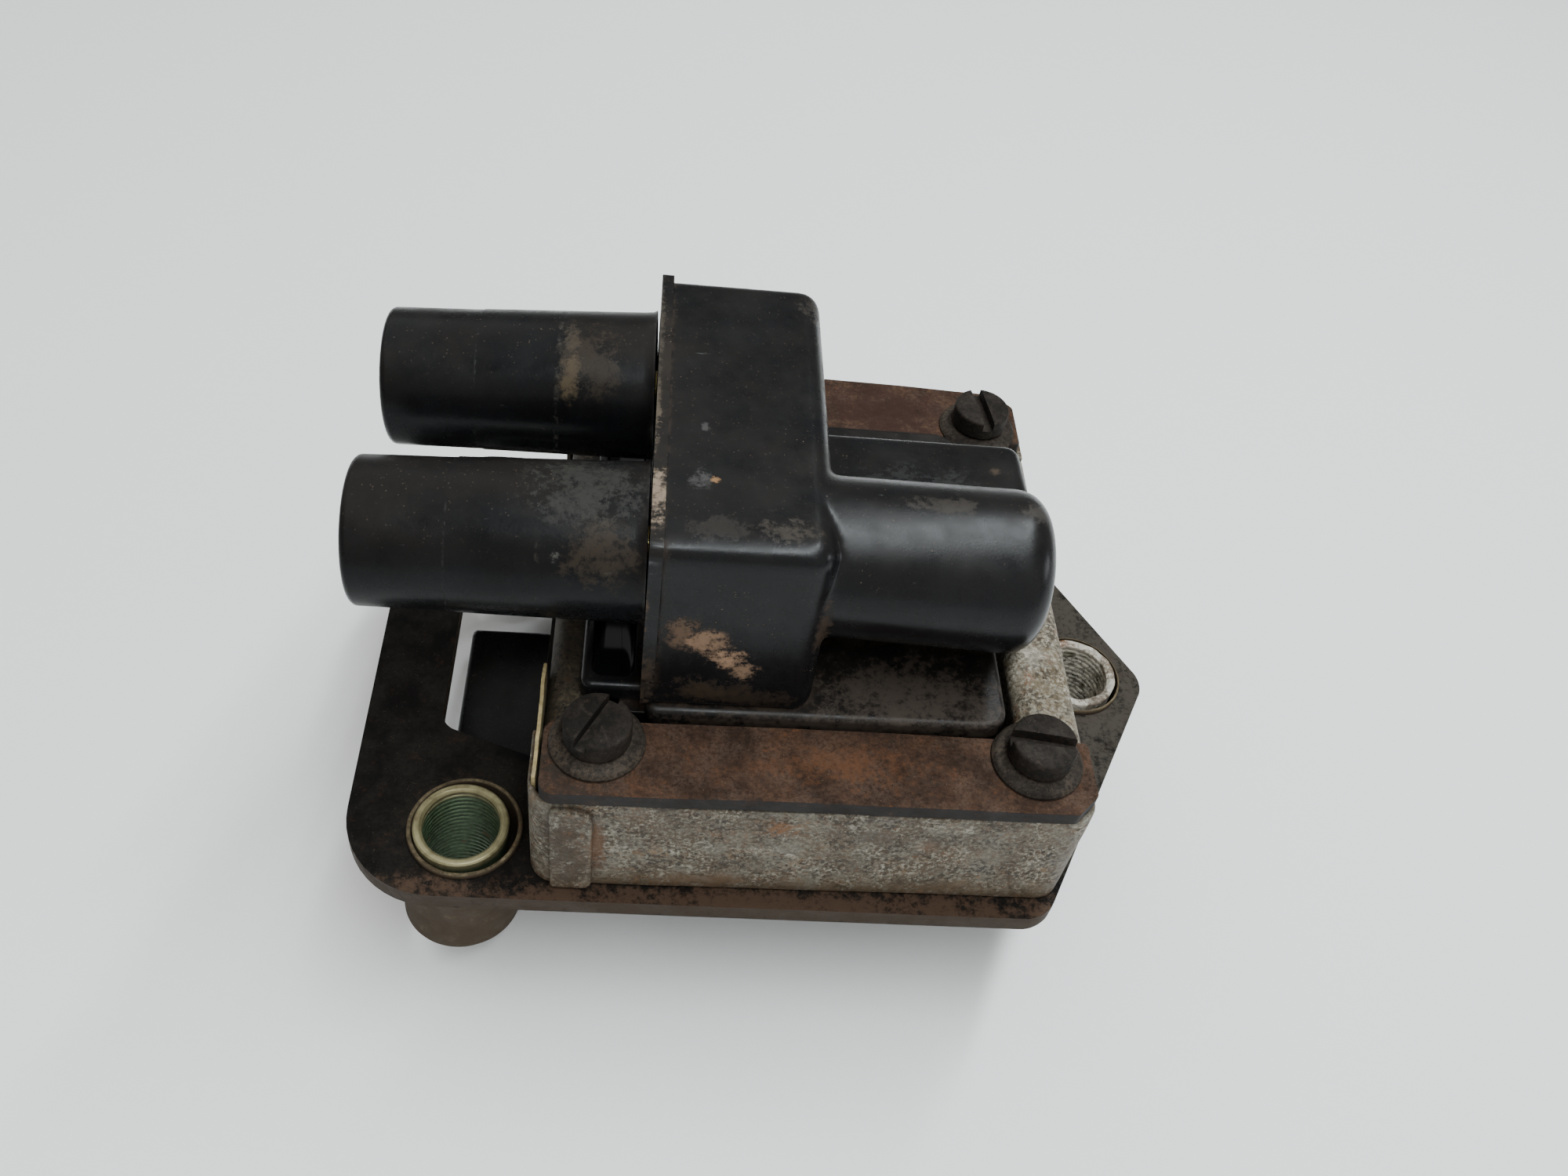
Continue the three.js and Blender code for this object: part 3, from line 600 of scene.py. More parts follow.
# ---- pieces -------------------------------------------------------------------------------------
class Build(bpy.types.Operator):
    """Builds one group of the coil's pieces."""

    bl_idname = "coil.build"
    bl_label = "Build"
    bl_options = {"REGISTER", "UNDO"}

    def execute(self, context):
        self.build(context.scene.coil_colours, context.scene.coil_sizes)
        return {"FINISHED"}

    def build(self, look, sizes):
        raise NotImplementedError


class BuildPlate(Build):
    """The mounting plate with its window, throat, bush holes and pointed ear."""

    bl_idname = "coil.plate"
    bl_label = "Mounting plate"

    def build(self, look, sizes):
        outline = [(PLATE_LEFT, -41.8, 13), (34, -42.7, 5), (55.9, -2, 4), (55.9, 0.6, 4), (32.7, 42.7, 5),
                   (PLATE_LEFT, 41.8, 13)]
        plate = slab(outline, PLATE_UNDER, 0, segments=12)
        low, high = PLATE_UNDER - CLEAR, CLEAR
        window = slab([(-51.3, -14.6, 3), (-37.2, -19.7, 1), (-37.2, 19.7, 1), (-51.3, 14.6, 3)], low, high)
        throat = slab(box(-26.6, 26.6, -27.2, 27.2, 2), low, high)
        holes = []
        for x, y, _, _, flange in BUSHES.values():
            radius = flange - 0.15
            hole = turned([(0, low), (radius, low), (radius, high), (0, high)], steps=64)
            holes.append(move(hole, x, y))
        tint, dark = look.plate, (0.003, 0.0025, 0.002)
        finish = rusty("plate_rust", tint, dark, look.orange, (0.11, 0.085, 0.062), specks=0.35, pale_edges=0.0,
                       bloomed=0.1, sides=(0.042, 0.03, 0.021), patches=[
                           ((44, 0, 0), (36, 60, 8), (0.045, 0.038, 0.03), 0.9),
                           ((45, 0, 0), (11, 11, 3), (0.085, 0.042, 0.022), 0.8),
                           ((-45.8, -31.7, 0), (14, 14, 3), (0.018, 0.012, 0.008), 0.7),
                           ((-8, -41.6, 0), (120, 5, 4), (0.058, 0.034, 0.021), 0.9),
                           ((-10, -43, -1.6), (60, 1.4, 2.2), (0.042, 0.032, 0.026), 0.9),
                       ])
        piece("plate", plate, finish, ["mounting_plate"], ease=sizes.plate_ease / MM,
              cuts=[window, throat, *holes])


class BuildBushes(Build):
    """The three swaged bush collars and the grooved sleeves inside them."""

    bl_idname = "coil.bushes"
    bl_label = "Bushes"

    def build(self, look, sizes):
        # The collars' side colour is painted shade on their outer walls.
        collar_finish = rusty("collar_rust", (0.12, 0.092, 0.052), (0.05, 0.037, 0.022), look.orange,
                              (0.2, 0.165, 0.1), specks=0.4, pale_edges=0.7, bloomed=0.4,
                              sides=(0.05, 0.036, 0.023))
        yellow = plated("yellow_plating", (0.3, 0.27, 0.15), (0.19, 0.165, 0.085), (0.13, 0.1, 0.055),
                        bore=(0.05, 0.075, 0.04))
        whitened = plated("whitened_plating", (0.46, 0.43, 0.36), (0.16, 0.1, 0.06), (0.62, 0.58, 0.5),
                          rough=0.5, corroded=0.7, bore=(0.05, 0.048, 0.026), patches=[
                              ((42, 6, 1), (6, 6, 5), (0.2, 0.075, 0.02), 0.9),
                              ((48, -5, 1), (5, 5, 4), (0.09, 0.055, 0.03), 0.8),
                              ((51, 1, 1), (2, 5, 3), (0.12, 0.07, 0.035), 0.8),
                          ])
        for place, (x, y, shift, lean, flange) in BUSHES.items():
            waist = flange - 0.25
            profile = [(7.15, -18.3), *arc(8.0, -17.9, 0.4, -90, 0, 4), (8.4, -3.35), (waist, -3.3),
                       (waist, 0.05), (flange, 0.1), *arc(flange - 0.4, 0.5, 0.38, 0, 90, 4), (7.2, 0.85),
                       (7.1, 0.6), (7.15, -3.1)]
            collar = self.leaning(ripple(turned(profile, closed=True), 2.5, 0.05, (1, 1, 0.6)), lean)
            piece(f"collar_{place}", move(collar, x, y), collar_finish,
                  [f"bush_collar_{place}"], ease=0.1, rounds=2)
            sleeve = move(self.leaning(self.sleeve(sizes.thread / MM), lean), x + shift, y)
            if place == "ear":
                ripple(sleeve, 2.2, 0.22, (1, 1, 0.8))
            piece(f"sleeve_{place}", sleeve, whitened if place == "ear" else yellow,
                  [f"bush_sleeve_{place}"], ease=0.06, rounds=2)

    @staticmethod
    def leaning(bm, lean):
        """Leans the part below the plate sideways, by the whole lean at the collar's foot."""
        below_plate = 15.3
        for v in bm.verts:
            v.co.x += lean * max(0.0, PLATE_UNDER - v.co.z) / below_plate
        return bm

    @staticmethod
    def sleeve(pitch):
        """A sleeve whose bore is ringed with fine grooves."""
        profile = [(5.5, -18.8), (6.25, -18.8), (6.45, -18.6), (6.45, 1.15), (6.2, 1.4), (5.6, 1.4)]
        bore, groove = 5.2, 5.43
        z, last = 1.05, -18.2
        while z > last:
            profile += [(bore, z), (bore, z - pitch * 0.45), (groove, z - pitch * 0.6),
                        (groove, z - pitch * 0.85)]
            z -= pitch
        return turned(profile, closed=True, steps=80)


class BuildCore(Build):
    """The iron core's legs, the sheet straps round its ends and the paper strip beside it."""

    bl_idname = "coil.core"
    bl_label = "Core"

    def build(self, look, sizes):
        zinc, bloom = look.zinc, look.bloom
        # The last colour of each zinc finish darkens its pits and paints shade into its crevices.
        wall = weathered_zinc("strap_zinc", zinc, bloom, (0.085, 0.058, 0.032), (0.17, 0.1, 0.042),
                              (0.022, 0.016, 0.011), low_band=6, metal=0.1, patches=[
                                  ((-31.5, -40, 9), (6, 6, 18), (0.045, 0.032, 0.019), 1.0),
                                  ((-27.6, -40, 11), (1.8, 3, 10), (0.1, 0.045, 0.018), 0.8),
                                  ((-4, -40, 15.7), (3.4, 3, 3), (0.16, 0.07, 0.024), 0.9),
                                  ((14.8, -40, 13), (2.4, 3, 2.4), (0.12, 0.06, 0.026), 0.7),
                                  ((-13, -40, 2.4), (13, 3, 4), (0.1, 0.06, 0.032), 0.8),
                                  ((20, -40, 2), (18, 3, 3.6), (0.1, 0.07, 0.042), 0.7),
                                  ((10, -40, 15), (20, 3, 3.6), (0.06, 0.046, 0.032), 0.5),
                              ])
        leg = weathered_zinc("leg_zinc", (0.24, 0.215, 0.165), (0.38, 0.35, 0.285), (0.12, 0.085, 0.045),
                             look.orange, (0.04, 0.03, 0.02), metal=0.05)
        # The left leg takes the same zinc as the right one, in far darker colours.
        darker_zinc = weathered_zinc("darker_leg_zinc", (0.042, 0.031, 0.018), (0.07, 0.055, 0.033), (0.03, 0.021, 0.012),
                               dimmed(look.orange, 0.4), (0.006, 0.005, 0.003), metal=0.0)
        for side, name, outer, finish in ((1, "right", 36.2, leg), (-1, "left", 35.3, darker_zinc)):
            near, far = sorted((side * 27.4, side * outer))
            shape = slab([(near, CORE_FOOT), (far, CORE_FOOT), (far, 20.8, 2.4), (near, 20.8, 2.4)],
                         -27.9, 27.9, ALONG_Y)
            ripple(slice_up(shape, 1, range(-26, 27, 4)), 7, 0.12, (0.5, 0, 1))
            piece(f"leg_{name}", shape, finish, [f"core_leg_{name}"], ease=0.25)
        for side, name in ((-1, "front"), (1, "back")):
            self.strap(side, name, wall)
        self.paper()
        iron = plain_mottle("sheet_iron", (0.12, 0.11, 0.1), (0.2, 0.19, 0.18), 0.5, 0.5, 0.7,
                            stretch=(0.1, 0.1, 3))
        refinish(iron, "core_yoke_front", "core_yoke_back", "core_centre_leg")

    @staticmethod
    def strap(side, name, finish):
        """A sheet strap with two returns, gently dented; the front one has a folded tab."""
        ends = -28.6
        band = slab([(-36.6, ends), (-36.6, -39.6, 3.5), (36.2, -39.6, 3.5), (36.2, ends), (35.3, ends),
                     (35.3, -38.7, 2.6), (-35.9, -38.7, 2.6), (-35.9, ends)], CORE_FOOT, 19.8)
        slice_up(band, 0, range(-32, 33, 4))
        slice_up(band, 2, (4, 8, 12, 16))
        ripple(band, 9, 0.16, (0, 1, 0.3))
        for v in band.verts:
            v.co.z = min(max(v.co.z, 0.25), 19.95)
        shapes = [band]
        if side < 0:
            tab = slab([(-33.7, 0.4, 0.8), (-28.3, 0.4, 1.4), (-28.3, 18.9, 2.2), (-33.7, 18.9, 0.8)],
                       -40.4, -39.35, ALONG_Y)
            slice_up(tab, 2, (5, 9, 13, 17))
            slice_up(tab, 0, (-33, -31.5, -30))
            shapes.append(ripple(tab, 5, 0.15, (0.6, 0.5, 0.4)))
        shape = join(*shapes)
        if side > 0:
            to_the_back(shape)
        piece(f"strap_{name}", shape, finish, [f"core_strap_{name}"], ease=0.28)

    @staticmethod
    def paper():
        """The strip of insulating paper on edge beside the core, a little crinkled."""
        strip = slab(box(-36.0, -35.55, -37, -19), 9, 21.6)
        slice_up(strip, 1, [-36 + i for i in range(17)])
        slice_up(strip, 2, (12, 15, 18))
        for v in strip.verts:
            v.co.x -= 0.16 * abs(noise.noise(Vector((0, v.co.y / 3, v.co.z / 9))))
            if v.co.z > 20:  # its torn top edge
                v.co.z += 0.5 * noise.noise(Vector((5, v.co.y / 2.5, 0))) - 0.15
        finish = plain_mottle("cream_paper", (0.37, 0.29, 0.14), (0.24, 0.18, 0.08), 1.2, 0.8)
        piece("paper_edge", strip, finish, ["paper_strip"], ease=0)


class BuildBars(Build):
    """The two clamp bars."""

    bl_idname = "coil.bars"
    bl_label = "Clamp bars"

    def build(self, look, sizes):
        # The side colour paints shade on the bars' faces that do not face up. The first patch darkens the
        # front bar's front face and edge along its length: painted shade, with some dark wear.
        finish = rusty("bar_rust", look.rust, (0.026, 0.0145, 0.009), look.orange, (0.15, 0.1, 0.065),
                       specks=0.6, pale_edges=0.2, bloomed=0.45, spread=True, sides=(0.02, 0.018, 0.017),
                       film=(0.062, 0.04, 0.028), patches=[
                           ((0, -40.5, 20.9), (46, 1.9, 3), (0.017, 0.014, 0.012), 1.0),
                           ((-31, -35, 22), (10, 9, 3), (0.022, 0.017, 0.013), 0.85),
                           ((2, -34, 22.4), (16, 5, 3), (0.1, 0.042, 0.018), 0.6),
                           ((28.3, 32, 22.5), (11, 11, 3), (0.05, 0.035, 0.025), 0.8),
                           ((14, 34, 22.5), (22, 14, 5), (0.028, 0.0125, 0.009), 0.9),
                       ])
        bow = sizes.bar_bow / MM
        left, clip = -35.1, 3
        for name, side, right, near, far, rise in (
            ("front", -1, 35.8, 28.7, 39.9, 1),
            ("back", 1, 35.3, 29.2, 41.2, 2.6),
        ):
            bar = slab([(left, -far, 2), (right - clip, -far, 1), (right, clip - far, 1), (right, -near, 0.8),
                        (left, -near, 2)], 20.1, 22.3)
            slice_up(bar, 0, range(-30, 31, 5))
            slice_up(bar, 1, (-37, -34, -31))
            for v in bar.verts:
                lift = max(0.0, 1 - (v.co.x / 28) ** 2) * bow * rise
                v.co.z += lift + 0.06 * noise.noise(v.co / 6)
                v.co.y += 0.12 * noise.noise(v.co / 9 + Vector((9, 0, 0)))
            if side > 0:
                to_the_back(bar)
            piece(f"bar_{name}", bar, finish, [f"clamp_bar_{name}"], ease=0.5, rounds=4)


class BuildScrews(Build):
    """The four slotted cheese-head screws and their domed washers."""

    bl_idname = "coil.screws"
    bl_label = "Screws"

    def build(self, look, sizes):
        screw = rusty("screw_steel", (0.026, 0.02, 0.016), (0.012, 0.01, 0.008), (0.06, 0.04, 0.027),
                      (0.11, 0.09, 0.072), specks=0.4, pale_edges=0.12)
        washer = rusty("washer_steel", (0.036, 0.028, 0.021), (0.014, 0.011, 0.009), (0.08, 0.055, 0.035),
                       (0.13, 0.1, 0.072), specks=0.6, pale_edges=0.8, film=(0.06, 0.045, 0.032))
        for place, (x, y, angle) in SCREWS.items():
            dome = [(2.8, WASHER_SEAT), (6.0, WASHER_SEAT), (6.1, 22.5), (6.05, 22.8),
                    *arc(5.3, 22.65, 0.65, 25, 85, 5), (4.6, 23.62), (2.8, 23.75)]
            ring = move(ripple(turned(dome, closed=True, steps=72), 3, 0.06), x, y)
            piece(f"washer_dome_{place}", ring, washer, [f"washer_{place}"], ease=0.08,
                  rounds=2)
            shank, under_head, rim = 2.45, 24.0, 4.3
            profile = [(0, -2.8), (2.0, -2.8), (shank, -2.2), (shank, under_head), (4.1, under_head),
                       (rim, 24.15), (rim, 26.75), *arc(3.85, 26.75, 0.45, 15, 80, 4), (2.4, 27.28),
                       (0, 27.3)]
            slot = bmesh.new()
            bmesh.ops.create_cube(slot, size=1)
            bmesh.ops.scale(slot, vec=(12, sizes.slot / MM, 3), verts=slot.verts)
            turn = Matrix.Rotation(math.radians(angle), 4, "Z")
            move(slot, x, y, 27.2, turn)
            head = move(turned(profile, steps=72), x, y)
            piece(f"cheese_head_{place}", head, screw, [f"screw_{place}"], ease=0.14,
                  cuts=[slot])


class BuildCase(Build):
    """The lower case with its flat rim, resin pocket and the compound that fills it."""

    bl_idname = "coil.case"
    bl_label = "Case"

    def build(self, look, sizes):
        top, step, right = 24, -22.6, 24.9
        rim = slab([(-31, -24.4, 1.5), (step, -24.4), (step, -28, 1.5), (right, -28, 3), (right, 28.8, 4.5),
                    (step, 28.8, 1.5), (step, 24.4), (-31, 24.4, 1.5)], 21.3, top)
        round_edges(rim, [e for e in rim.edges if all(v.co.z > top - 0.1 for v in e.verts)], 0.9, 5)
        lower = slab(box(-26, right, -26.4, 26.4, 2), -27, 21.4)
        pocket = slab(box(-29.6, -24.2, -22.6, 22.6, 1.5), 22, 26)
        cavity = slab(box(-24, 22.9, -24.4, 24.4, 1), -30, -21)
        finish = black_moulding("case_moulding", look, dusty=0.6, stains=[
            ((4, -28.2, 22.8), (42, 2, 2.4), (0.045, 0.034, 0.026), 0.8),
            ((12, -24, 24), (24, 12, 2), (0.06, 0.047, 0.037), 0.75),
        ])
        piece("case_moulding", join(rim, lower), finish, ["coil_case"], ease=0.25,
              cuts=[pocket, cavity])
        resin = glossy_resin(look)
        pool = slab(box(-29.4, -24.4, -22.4, 22.4, 1.3), 22.1, 22.8)
        surface = [f for f in pool.faces if f.normal.z > 0.9]
        for width, drop in ((0.25, 0.096), (0.4, 0.176), (0.7, 0.08)):
            bmesh.ops.inset_region(pool, faces=surface, thickness=width, use_even_offset=True)
            sinking = list({v for f in surface for v in f.verts})
            bmesh.ops.translate(pool, verts=sinking, vec=(0, 0, -drop))
        piece("resin_pool", pool, resin, ["pocket_resin"], ease=0, sharp=70)
        refinish(resin, "bottom_resin")


class BuildCover(Build):
    """The tower block, the raised body and the closed round hump, moulded in one."""

    bl_idname = "coil.cover"
    bl_label = "Cover"

    def build(self, look, sizes):
        top = 51.45
        block = slab([(-27, SEAM), (27, SEAM), (26.3, top, 2.6), (-25.4, top, 2.6)], BLOCK_LEFT, BLOCK_RIGHT,
                     ALONG_X)
        round_edges(block, end_edges(block, BLOCK_RIGHT - 0.01), sizes.corner / MM, 8)
        start, body_end = -5, 30.1  # both bodies start inside the block
        body = slab([(-15, SEAM), (15.9, SEAM), (15.9, 34.7, 2.6), (0.4, 35.6, 110), (-15, 34.7, 2.6)],
                    start, body_end, ALONG_X)
        round_edges(body, end_edges(body, body_end - 0.1), 2.2, 6)
        length, nose = 26.4 - start, 4
        profile = [(0, 0), (10.05, 0), (10.5, length - nose), *arc(6.5, length - nose, nose, 0, 80, 8),
                   (3.5, length - 0.05), (0, length)]
        lean = Matrix.Rotation(math.radians(-1), 4, "Z") @ Matrix.Rotation(math.radians(91.3), 4, "Y")
        hump = move(turned(profile), start, -15, AXIS_Z, lean)
        shape = join(block, body, hump)
        pale = (0.13, 0.125, 0.118)
        tan = look.tan
        finish = black_moulding("cover_moulding", look, dusty=0.3, stains=[
            ((-18.6, -27, 38), (3.6, 4, 5), dimmed(tan, 0.6), 0.6),
            ((-15.6, -27, 35.8), (4.4, 4, 4), tan, 0.75),
            ((-13, -27, 33.8), (4.4, 4, 3.4), dimmed(tan, 1.3), 0.8),
            ((-10.6, -27, 31.4), (3, 4, 2.6), tan, 0.7),
            ((-15, -27, 27.5), (9, 4, 4), (0.034, 0.022, 0.013), 0.8),
            ((-9, -27, 26.2), (9, 4, 3), (0.03, 0.02, 0.013), 0.7),
            ((-17.1, -4.4, 51.4), (1, 1.2, 2), dimmed(pale, 0.5), 0.6),
            ((-17.6, -13.6, 51.4), (2.6, 3, 2), dimmed(pale, 0.6), 0.5),
            ((-15.8, -13.6, 51.4), (1.1, 1, 2), (0.22, 0.12, 0.055), 0.9),
            ((-7.2, -21.5, 51.4), (6, 3.4, 2.5), (0.05, 0.04, 0.03), 0.6),
            ((-15.5, -21.5, 51.4), (6, 3.4, 2.5), (0.03, 0.025, 0.02), 0.5),
            ((11.8, -15, 51), (8, 3, 2), (0.05, 0.042, 0.034), 0.5),
            ((23.5, -15, 50.5), (3, 3, 2), (0.06, 0.052, 0.044), 0.5),
            ((-1.6, -24, 38), (2, 4, 9), (0.05, 0.032, 0.02), 0.7),
            ((-1.4, 6, 47), (2, 30, 5), (0.034, 0.028, 0.021), 0.6),
            ((-3, 22, 50), (4, 6, 3), (0.04, 0.032, 0.024), 0.6),
            ((25.2, 8.6, 35.5), (1.4, 1.6, 1.5), (0.05, 0.035, 0.022), 0.8),
            ((14, 2, 36), (18, 15, 2), (0.017, 0.0165, 0.016), 0.8),
        ])
        piece("cover_moulding", shape, finish, ["top_cover"], ease=0,
              voxel=sizes.melt / MM)


class BuildTowers(Build):
    """The flange that closes the block, and the two hollow high-voltage towers."""

    bl_idname = "coil.towers"
    bl_label = "Towers"

    def build(self, look, sizes):
        top = 52
        flange = slab([(-27.6, 24.4, 1), (27.6, 24.4, 1), (26.8, top, 2), (-25.9, top, 2)], -23.3, -21.7,
                      ALONG_X)
        slice_up(flange, 1, [-26 + i * 0.8 for i in range(66)])
        slice_up(flange, 2, [25 + i * 0.8 for i in range(34)])
        for v in flange.verts:  # ragged flash along its sides and top
            grit = 0.16 * noise.noise(v.co / 1.4) - 0.12
            v.co.y += math.copysign(grit, v.co.y) if abs(v.co.y) > 26.4 else 0
            v.co.z += grit if v.co.z > top - 0.1 else 0
        tan = look.tan
        # The flange's strong pale edges are a painted highlight along its rounded edge, over a little wear.
        finish = black_moulding("flange_moulding", look, dusty=0.9, pale_edges=0.9, stains=[
            ((-22.8, -17, 52), (3, 7.5, 3), (0.21, 0.16, 0.115), 0.95),
            ((-23.4, -4, 52), (1.2, 12, 1.8), (0.09, 0.07, 0.05), 0.8),
            ((-23.4, 14, 52), (1.2, 20, 1.6), (0.06, 0.05, 0.038), 0.7),
            ((-23.4, -27.6, 42), (1, 2, 12), dimmed(tan, 0.6), 0.7),
            ((-23, -27.6, 30), (3, 2, 8), (0.05, 0.034, 0.022), 0.8),
        ])
        piece("flange_moulding", flange, finish, ["tower_flange"], ease=0.3, rounds=4)
        brass = plated("dull_brass", (0.6, 0.46, 0.18), (0.38, 0.27, 0.1), (0.12, 0.16, 0.1))
        for side, name, length, droop in ((-1, "front", 36, 1.2), (1, "back", 36.2, 2.2)):
            towards = Matrix.Rotation(math.radians(-90 - droop), 4, "Y")
            self.tower(side, name, length, towards, look)
            stem = [(0, -2.5), (1.6, -2.5), (2.2, -1.5), (2.2, 7), (3.4, 7.3), (3.4, 9.5), (2.3, 10.2),
                    (2.3, 13), (1.9, 13.7), (1.2, 14), (0, 14)]
            pin = move(turned(stem, steps=48), TOWER_START, side * TOWER_Y, AXIS_Z, towards)
            piece(f"stem_{name}", pin, brass, [f"tower_terminal_{name}"], ease=0.15)

    @staticmethod
    def tower(side, name, tip, towards, look):
        """A tapered tube with a squared lip, a faint step outside and a stepped socket inside."""
        tip -= 0.05
        hole, lip = 3.2, 0.9
        profile = [(hole, 0.5), (10.35, 0.5), (10.1, 1.0), (10.02, 2.0), (9.75, 13.0), (9.5, 23.6),
                   (9.4, 23.9), *arc(8.35, tip - lip, lip, 0, 90, 6), (7.75, tip - 0.05), (7.3, tip - 0.6),
                   (7.25, 20), (7.0, 19.6), (6.95, 5.4), (6.6, 5), (hole, 5)]
        tube = move(turned(profile, closed=True, steps=112), TOWER_START, side * TOWER_Y, AXIS_Z, towards)
        ripple(tube, 14, 0.03)
        warm = (0.05, 0.037, 0.025)
        grey = (0.032, 0.031, 0.027)
        stains = {
            "back": [((-34.6, 8, 47.5), (2.4, 5.5, 5), (0.085, 0.062, 0.036), 0.7),
                     ((-34.6, 13, 50.4), (2, 5, 3), (0.06, 0.048, 0.034), 0.6),
                     ((-32, 10, 48.5), (7, 9, 6), warm, 0.4)],
            "front": [((-31, -15, 50.5), (11, 10, 5), grey, 0.75),
                      ((-29, -22, 46), (8, 6, 7), warm, 0.5),
                      ((-34.2, -22.5, 46), (1.1, 1.5, 1.5), (0.1, 0.095, 0.085), 0.9)],
        }
        finish = black_moulding(f"tower_moulding_{name}", look, dusty=0.4, gloss=0.11, stains=stains[name],
                                lines=[(-36.3, 0.5, (0.06, 0.054, 0.044)), (-47, 0.25, (0.022, 0.021, 0.02))])
        piece(f"tower_tube_{name}", tube, finish, [f"tower_{name}"], ease=0, sharp=60)


class BuildSocket(Build):
    """The low-voltage socket under the plate, with its blades and seal."""

    bl_idname = "coil.socket"
    bl_label = "Low-voltage socket"

    def build(self, look, sizes):
        shell = slab(box(-16, 16, -27, -14, 2.5), -51, -26.3, ALONG_X)
        mouth = slab(box(-14, 14, -25, -16, 1.2), -52, -33, ALONG_X)
        finish = black_moulding("socket_moulding", look, dusty=0.3, gloss=0.12)
        piece("socket_moulding", shell, finish, ["socket_shell"], ease=0.8, rounds=5,
              cuts=[mouth])
        brass = plated("blade_brass", (0.6, 0.46, 0.18), (0.4, 0.3, 0.12), (0.14, 0.16, 0.1))
        tip, pitch, half = -43, 8, 1.4
        for i in (-1, 0, 1):
            blade = slab(box(i * pitch - half, i * pitch + half, -20.9, -20.1), tip, -28, ALONG_X)
            nose = [e for e in blade.edges if all(v.co.x < tip + 0.1 for v in e.verts)]
            round_edges(blade, nose, 0.3, 2)
            piece(f"blade_{i + 2}", blade, brass, [f"socket_pin_{i + 2}"], ease=0.08,
                  rounds=2)
        rubber = plain_mottle("seal_rubber", (0.012, 0.012, 0.012), (0.025, 0.024, 0.023), 0.5, 0.7)
        refinish(rubber, "socket_seal")


class BuildInside(Build):
    """Finishes for the windings, bobbins and leads sealed inside the case."""

    bl_idname = "coil.inside"
    bl_label = "Windings"

    def build(self, look, sizes):
        copper = plain_mottle("wire_copper", (0.42, 0.16, 0.07), (0.6, 0.27, 0.12), 0.4, 0.3, 0.9, 0.05,
                              (1, 6, 1))
        bobbin = plain_mottle("bobbin_plastic", (0.16, 0.14, 0.11), (0.24, 0.21, 0.17), 2.0, 0.45)
        sections = [f"secondary_section_{i}" for i in range(1, 5)]
        refinish(copper, "primary_winding", "high_voltage_lead_front", "high_voltage_lead_back", *sections)
        refinish(bobbin, "primary_bobbin", "secondary_bobbin")


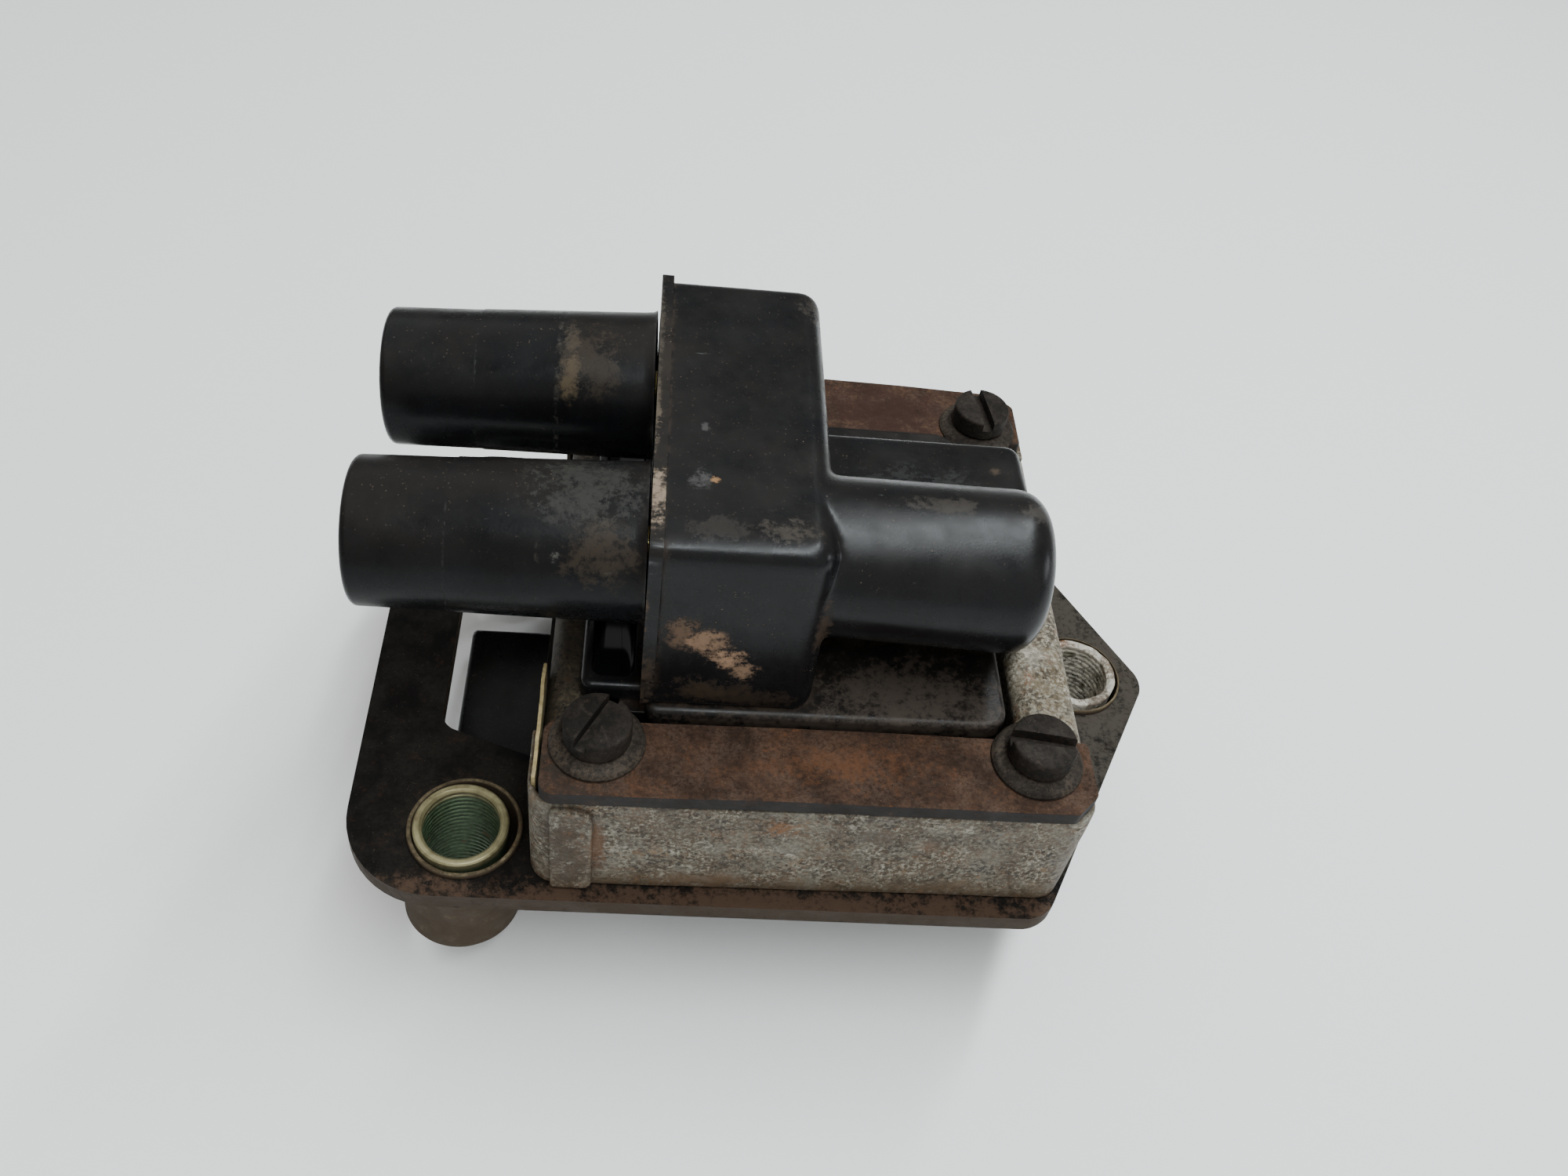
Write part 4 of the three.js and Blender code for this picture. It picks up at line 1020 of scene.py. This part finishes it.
# ---- stage --------------------------------------------------------------------------------------
class SetStage(bpy.types.Operator):
    """The pale floor, the soft lights and the camera."""

    bl_idname = "coil.stage"
    bl_label = "Stage"

    def execute(self, context):
        stage = context.scene.coil_stage
        self.floor(stage)
        self.lights(context)
        self.camera(context, stage)
        return {"FINISHED"}

    @staticmethod
    def floor(stage):
        """A wide pale floor with the faintest grain."""
        bm = bmesh.new()
        half_width = 3  # metres
        bmesh.ops.create_grid(bm, x_segments=4, y_segments=4, size=half_width)
        mesh = bpy.data.meshes.new("floor")
        bm.to_mesh(mesh)
        bm.free()
        floor = bpy.data.objects.new("floor", mesh)
        bpy.context.scene.collection.objects.link(floor)
        f = Finish("floor_paint", specular=0.1)
        grain = f.noise(2, detail=3)
        f.colour = stage.floor
        f.lay(dimmed(stage.floor, 0.99), f.levels(grain, 0.3, 0.7))
        mesh.materials.append(f.done(f.levels(grain, 0.3, 0.7, 0.88, 0.95)))

    @staticmethod
    def lights(context):
        """A strip overhead, a low one at the right, two broad soft sources and a dim even surround."""
        world = bpy.data.worlds.new("surround")
        context.scene.world = world
        world.use_nodes = True
        ground = world.node_tree.nodes["Background"]
        ground.inputs["Color"].default_value = (1.0, 1.0, 1.0, 1.0)
        ground.inputs["Strength"].default_value = 0.22
        # Places, aims and sizes in metres, power in watts.
        for name, place, aim, size, power, tint in (
            ("strip", (0.13, -0.03, 0.62), (0.05, 0.0, 0.03), (0.9, 0.055), 7.0, (0.9, 0.97, 1.0)),
            ("softbox", (-0.6, 0.5, 1.3), (0.0, 0.0, 0.03), (2.0, 2.0), 13.0, (1.0, 1.0, 0.98)),
            ("glint", (0.9, -0.1, 0.26), (0.0, 0.0, 0.05), (0.3, 0.2), 1.5, (0.9, 0.95, 1.0)),
            ("fill", (0.4, -1.2, 0.6), (0.0, 0.0, 0.03), (2.0, 1.4), 5.0, (1.0, 0.98, 0.95)),
        ):
            data = bpy.data.lights.new(name, "AREA")
            data.shape = "RECTANGLE"
            data.size, data.size_y = size
            data.energy = power
            data.color = tint
            lamp = bpy.data.objects.new(name, data)
            lamp.location = place
            lamp.rotation_euler = (Vector(aim) - Vector(place)).to_track_quat("-Z", "Y").to_euler()
            context.scene.collection.objects.link(lamp)

    @staticmethod
    def camera(context, stage):
        """The camera above the front left corner, rolled a little."""
        level = math.cos(stage.tilt)
        ahead = Vector((math.sin(stage.turn) * level, math.cos(stage.turn) * level, -math.sin(stage.tilt)))
        right = Vector((math.cos(stage.turn), -math.sin(stage.turn), 0))
        up = right.cross(ahead)
        across = right * math.cos(stage.roll) + up * math.sin(stage.roll)
        upward = up * math.cos(stage.roll) - right * math.sin(stage.roll)
        data = bpy.data.cameras.new("camera")
        data.lens = stage.lens
        data.sensor_width = 36
        data.clip_start = 0.005
        camera = bpy.data.objects.new("camera", data)
        place = TO_FRAME @ Vector((-24.7, -130.5, 164.3))
        turn = Matrix((across, upward, -ahead)).transposed().to_4x4()
        camera.matrix_world = Matrix.Translation(place) @ turn
        context.scene.collection.objects.link(camera)
        context.scene.camera = camera


STEPS = (BuildPlate, BuildBushes, BuildCore, BuildBars, BuildScrews, BuildCase, BuildCover, BuildTowers,
         BuildSocket, BuildInside, SetStage)


class CoilPanel(bpy.types.Panel):
    """Lists the coil's groups of pieces and their settings."""

    bl_idname = "VIEW3D_PT_coil"
    bl_label = "Ignition coil"
    bl_space_type = "VIEW_3D"
    bl_region_type = "UI"
    bl_category = "Coil"

    def draw(self, context):
        for step in STEPS:
            self.layout.operator(step.bl_idname)
        for group in (context.scene.coil_colours, context.scene.coil_sizes, context.scene.coil_stage):
            column = self.layout.column(align=True)
            for name in group.__annotations__:
                column.prop(group, name)


GROUPS = {"coil_colours": CoilColours, "coil_sizes": CoilSizes, "coil_stage": CoilStage}


def register():
    """Registers the settings, the operators and the panel."""
    for group in (*GROUPS.values(), *STEPS, CoilPanel):
        bpy.utils.register_class(group)
    for name, group in GROUPS.items():
        setattr(bpy.types.Scene, name, bpy.props.PointerProperty(type=group))


def unregister():
    """Takes them away again."""
    for name in GROUPS:
        delattr(bpy.types.Scene, name)
    for group in reversed((*GROUPS.values(), *STEPS, CoilPanel)):
        bpy.utils.unregister_class(group)


def main():
    """Builds everything in order."""
    noise.seed_set(SEED)
    register()
    for step in STEPS:
        group, name = step.bl_idname.split(".")
        getattr(getattr(bpy.ops, group), name)()


if __name__ == "__main__":
    main()
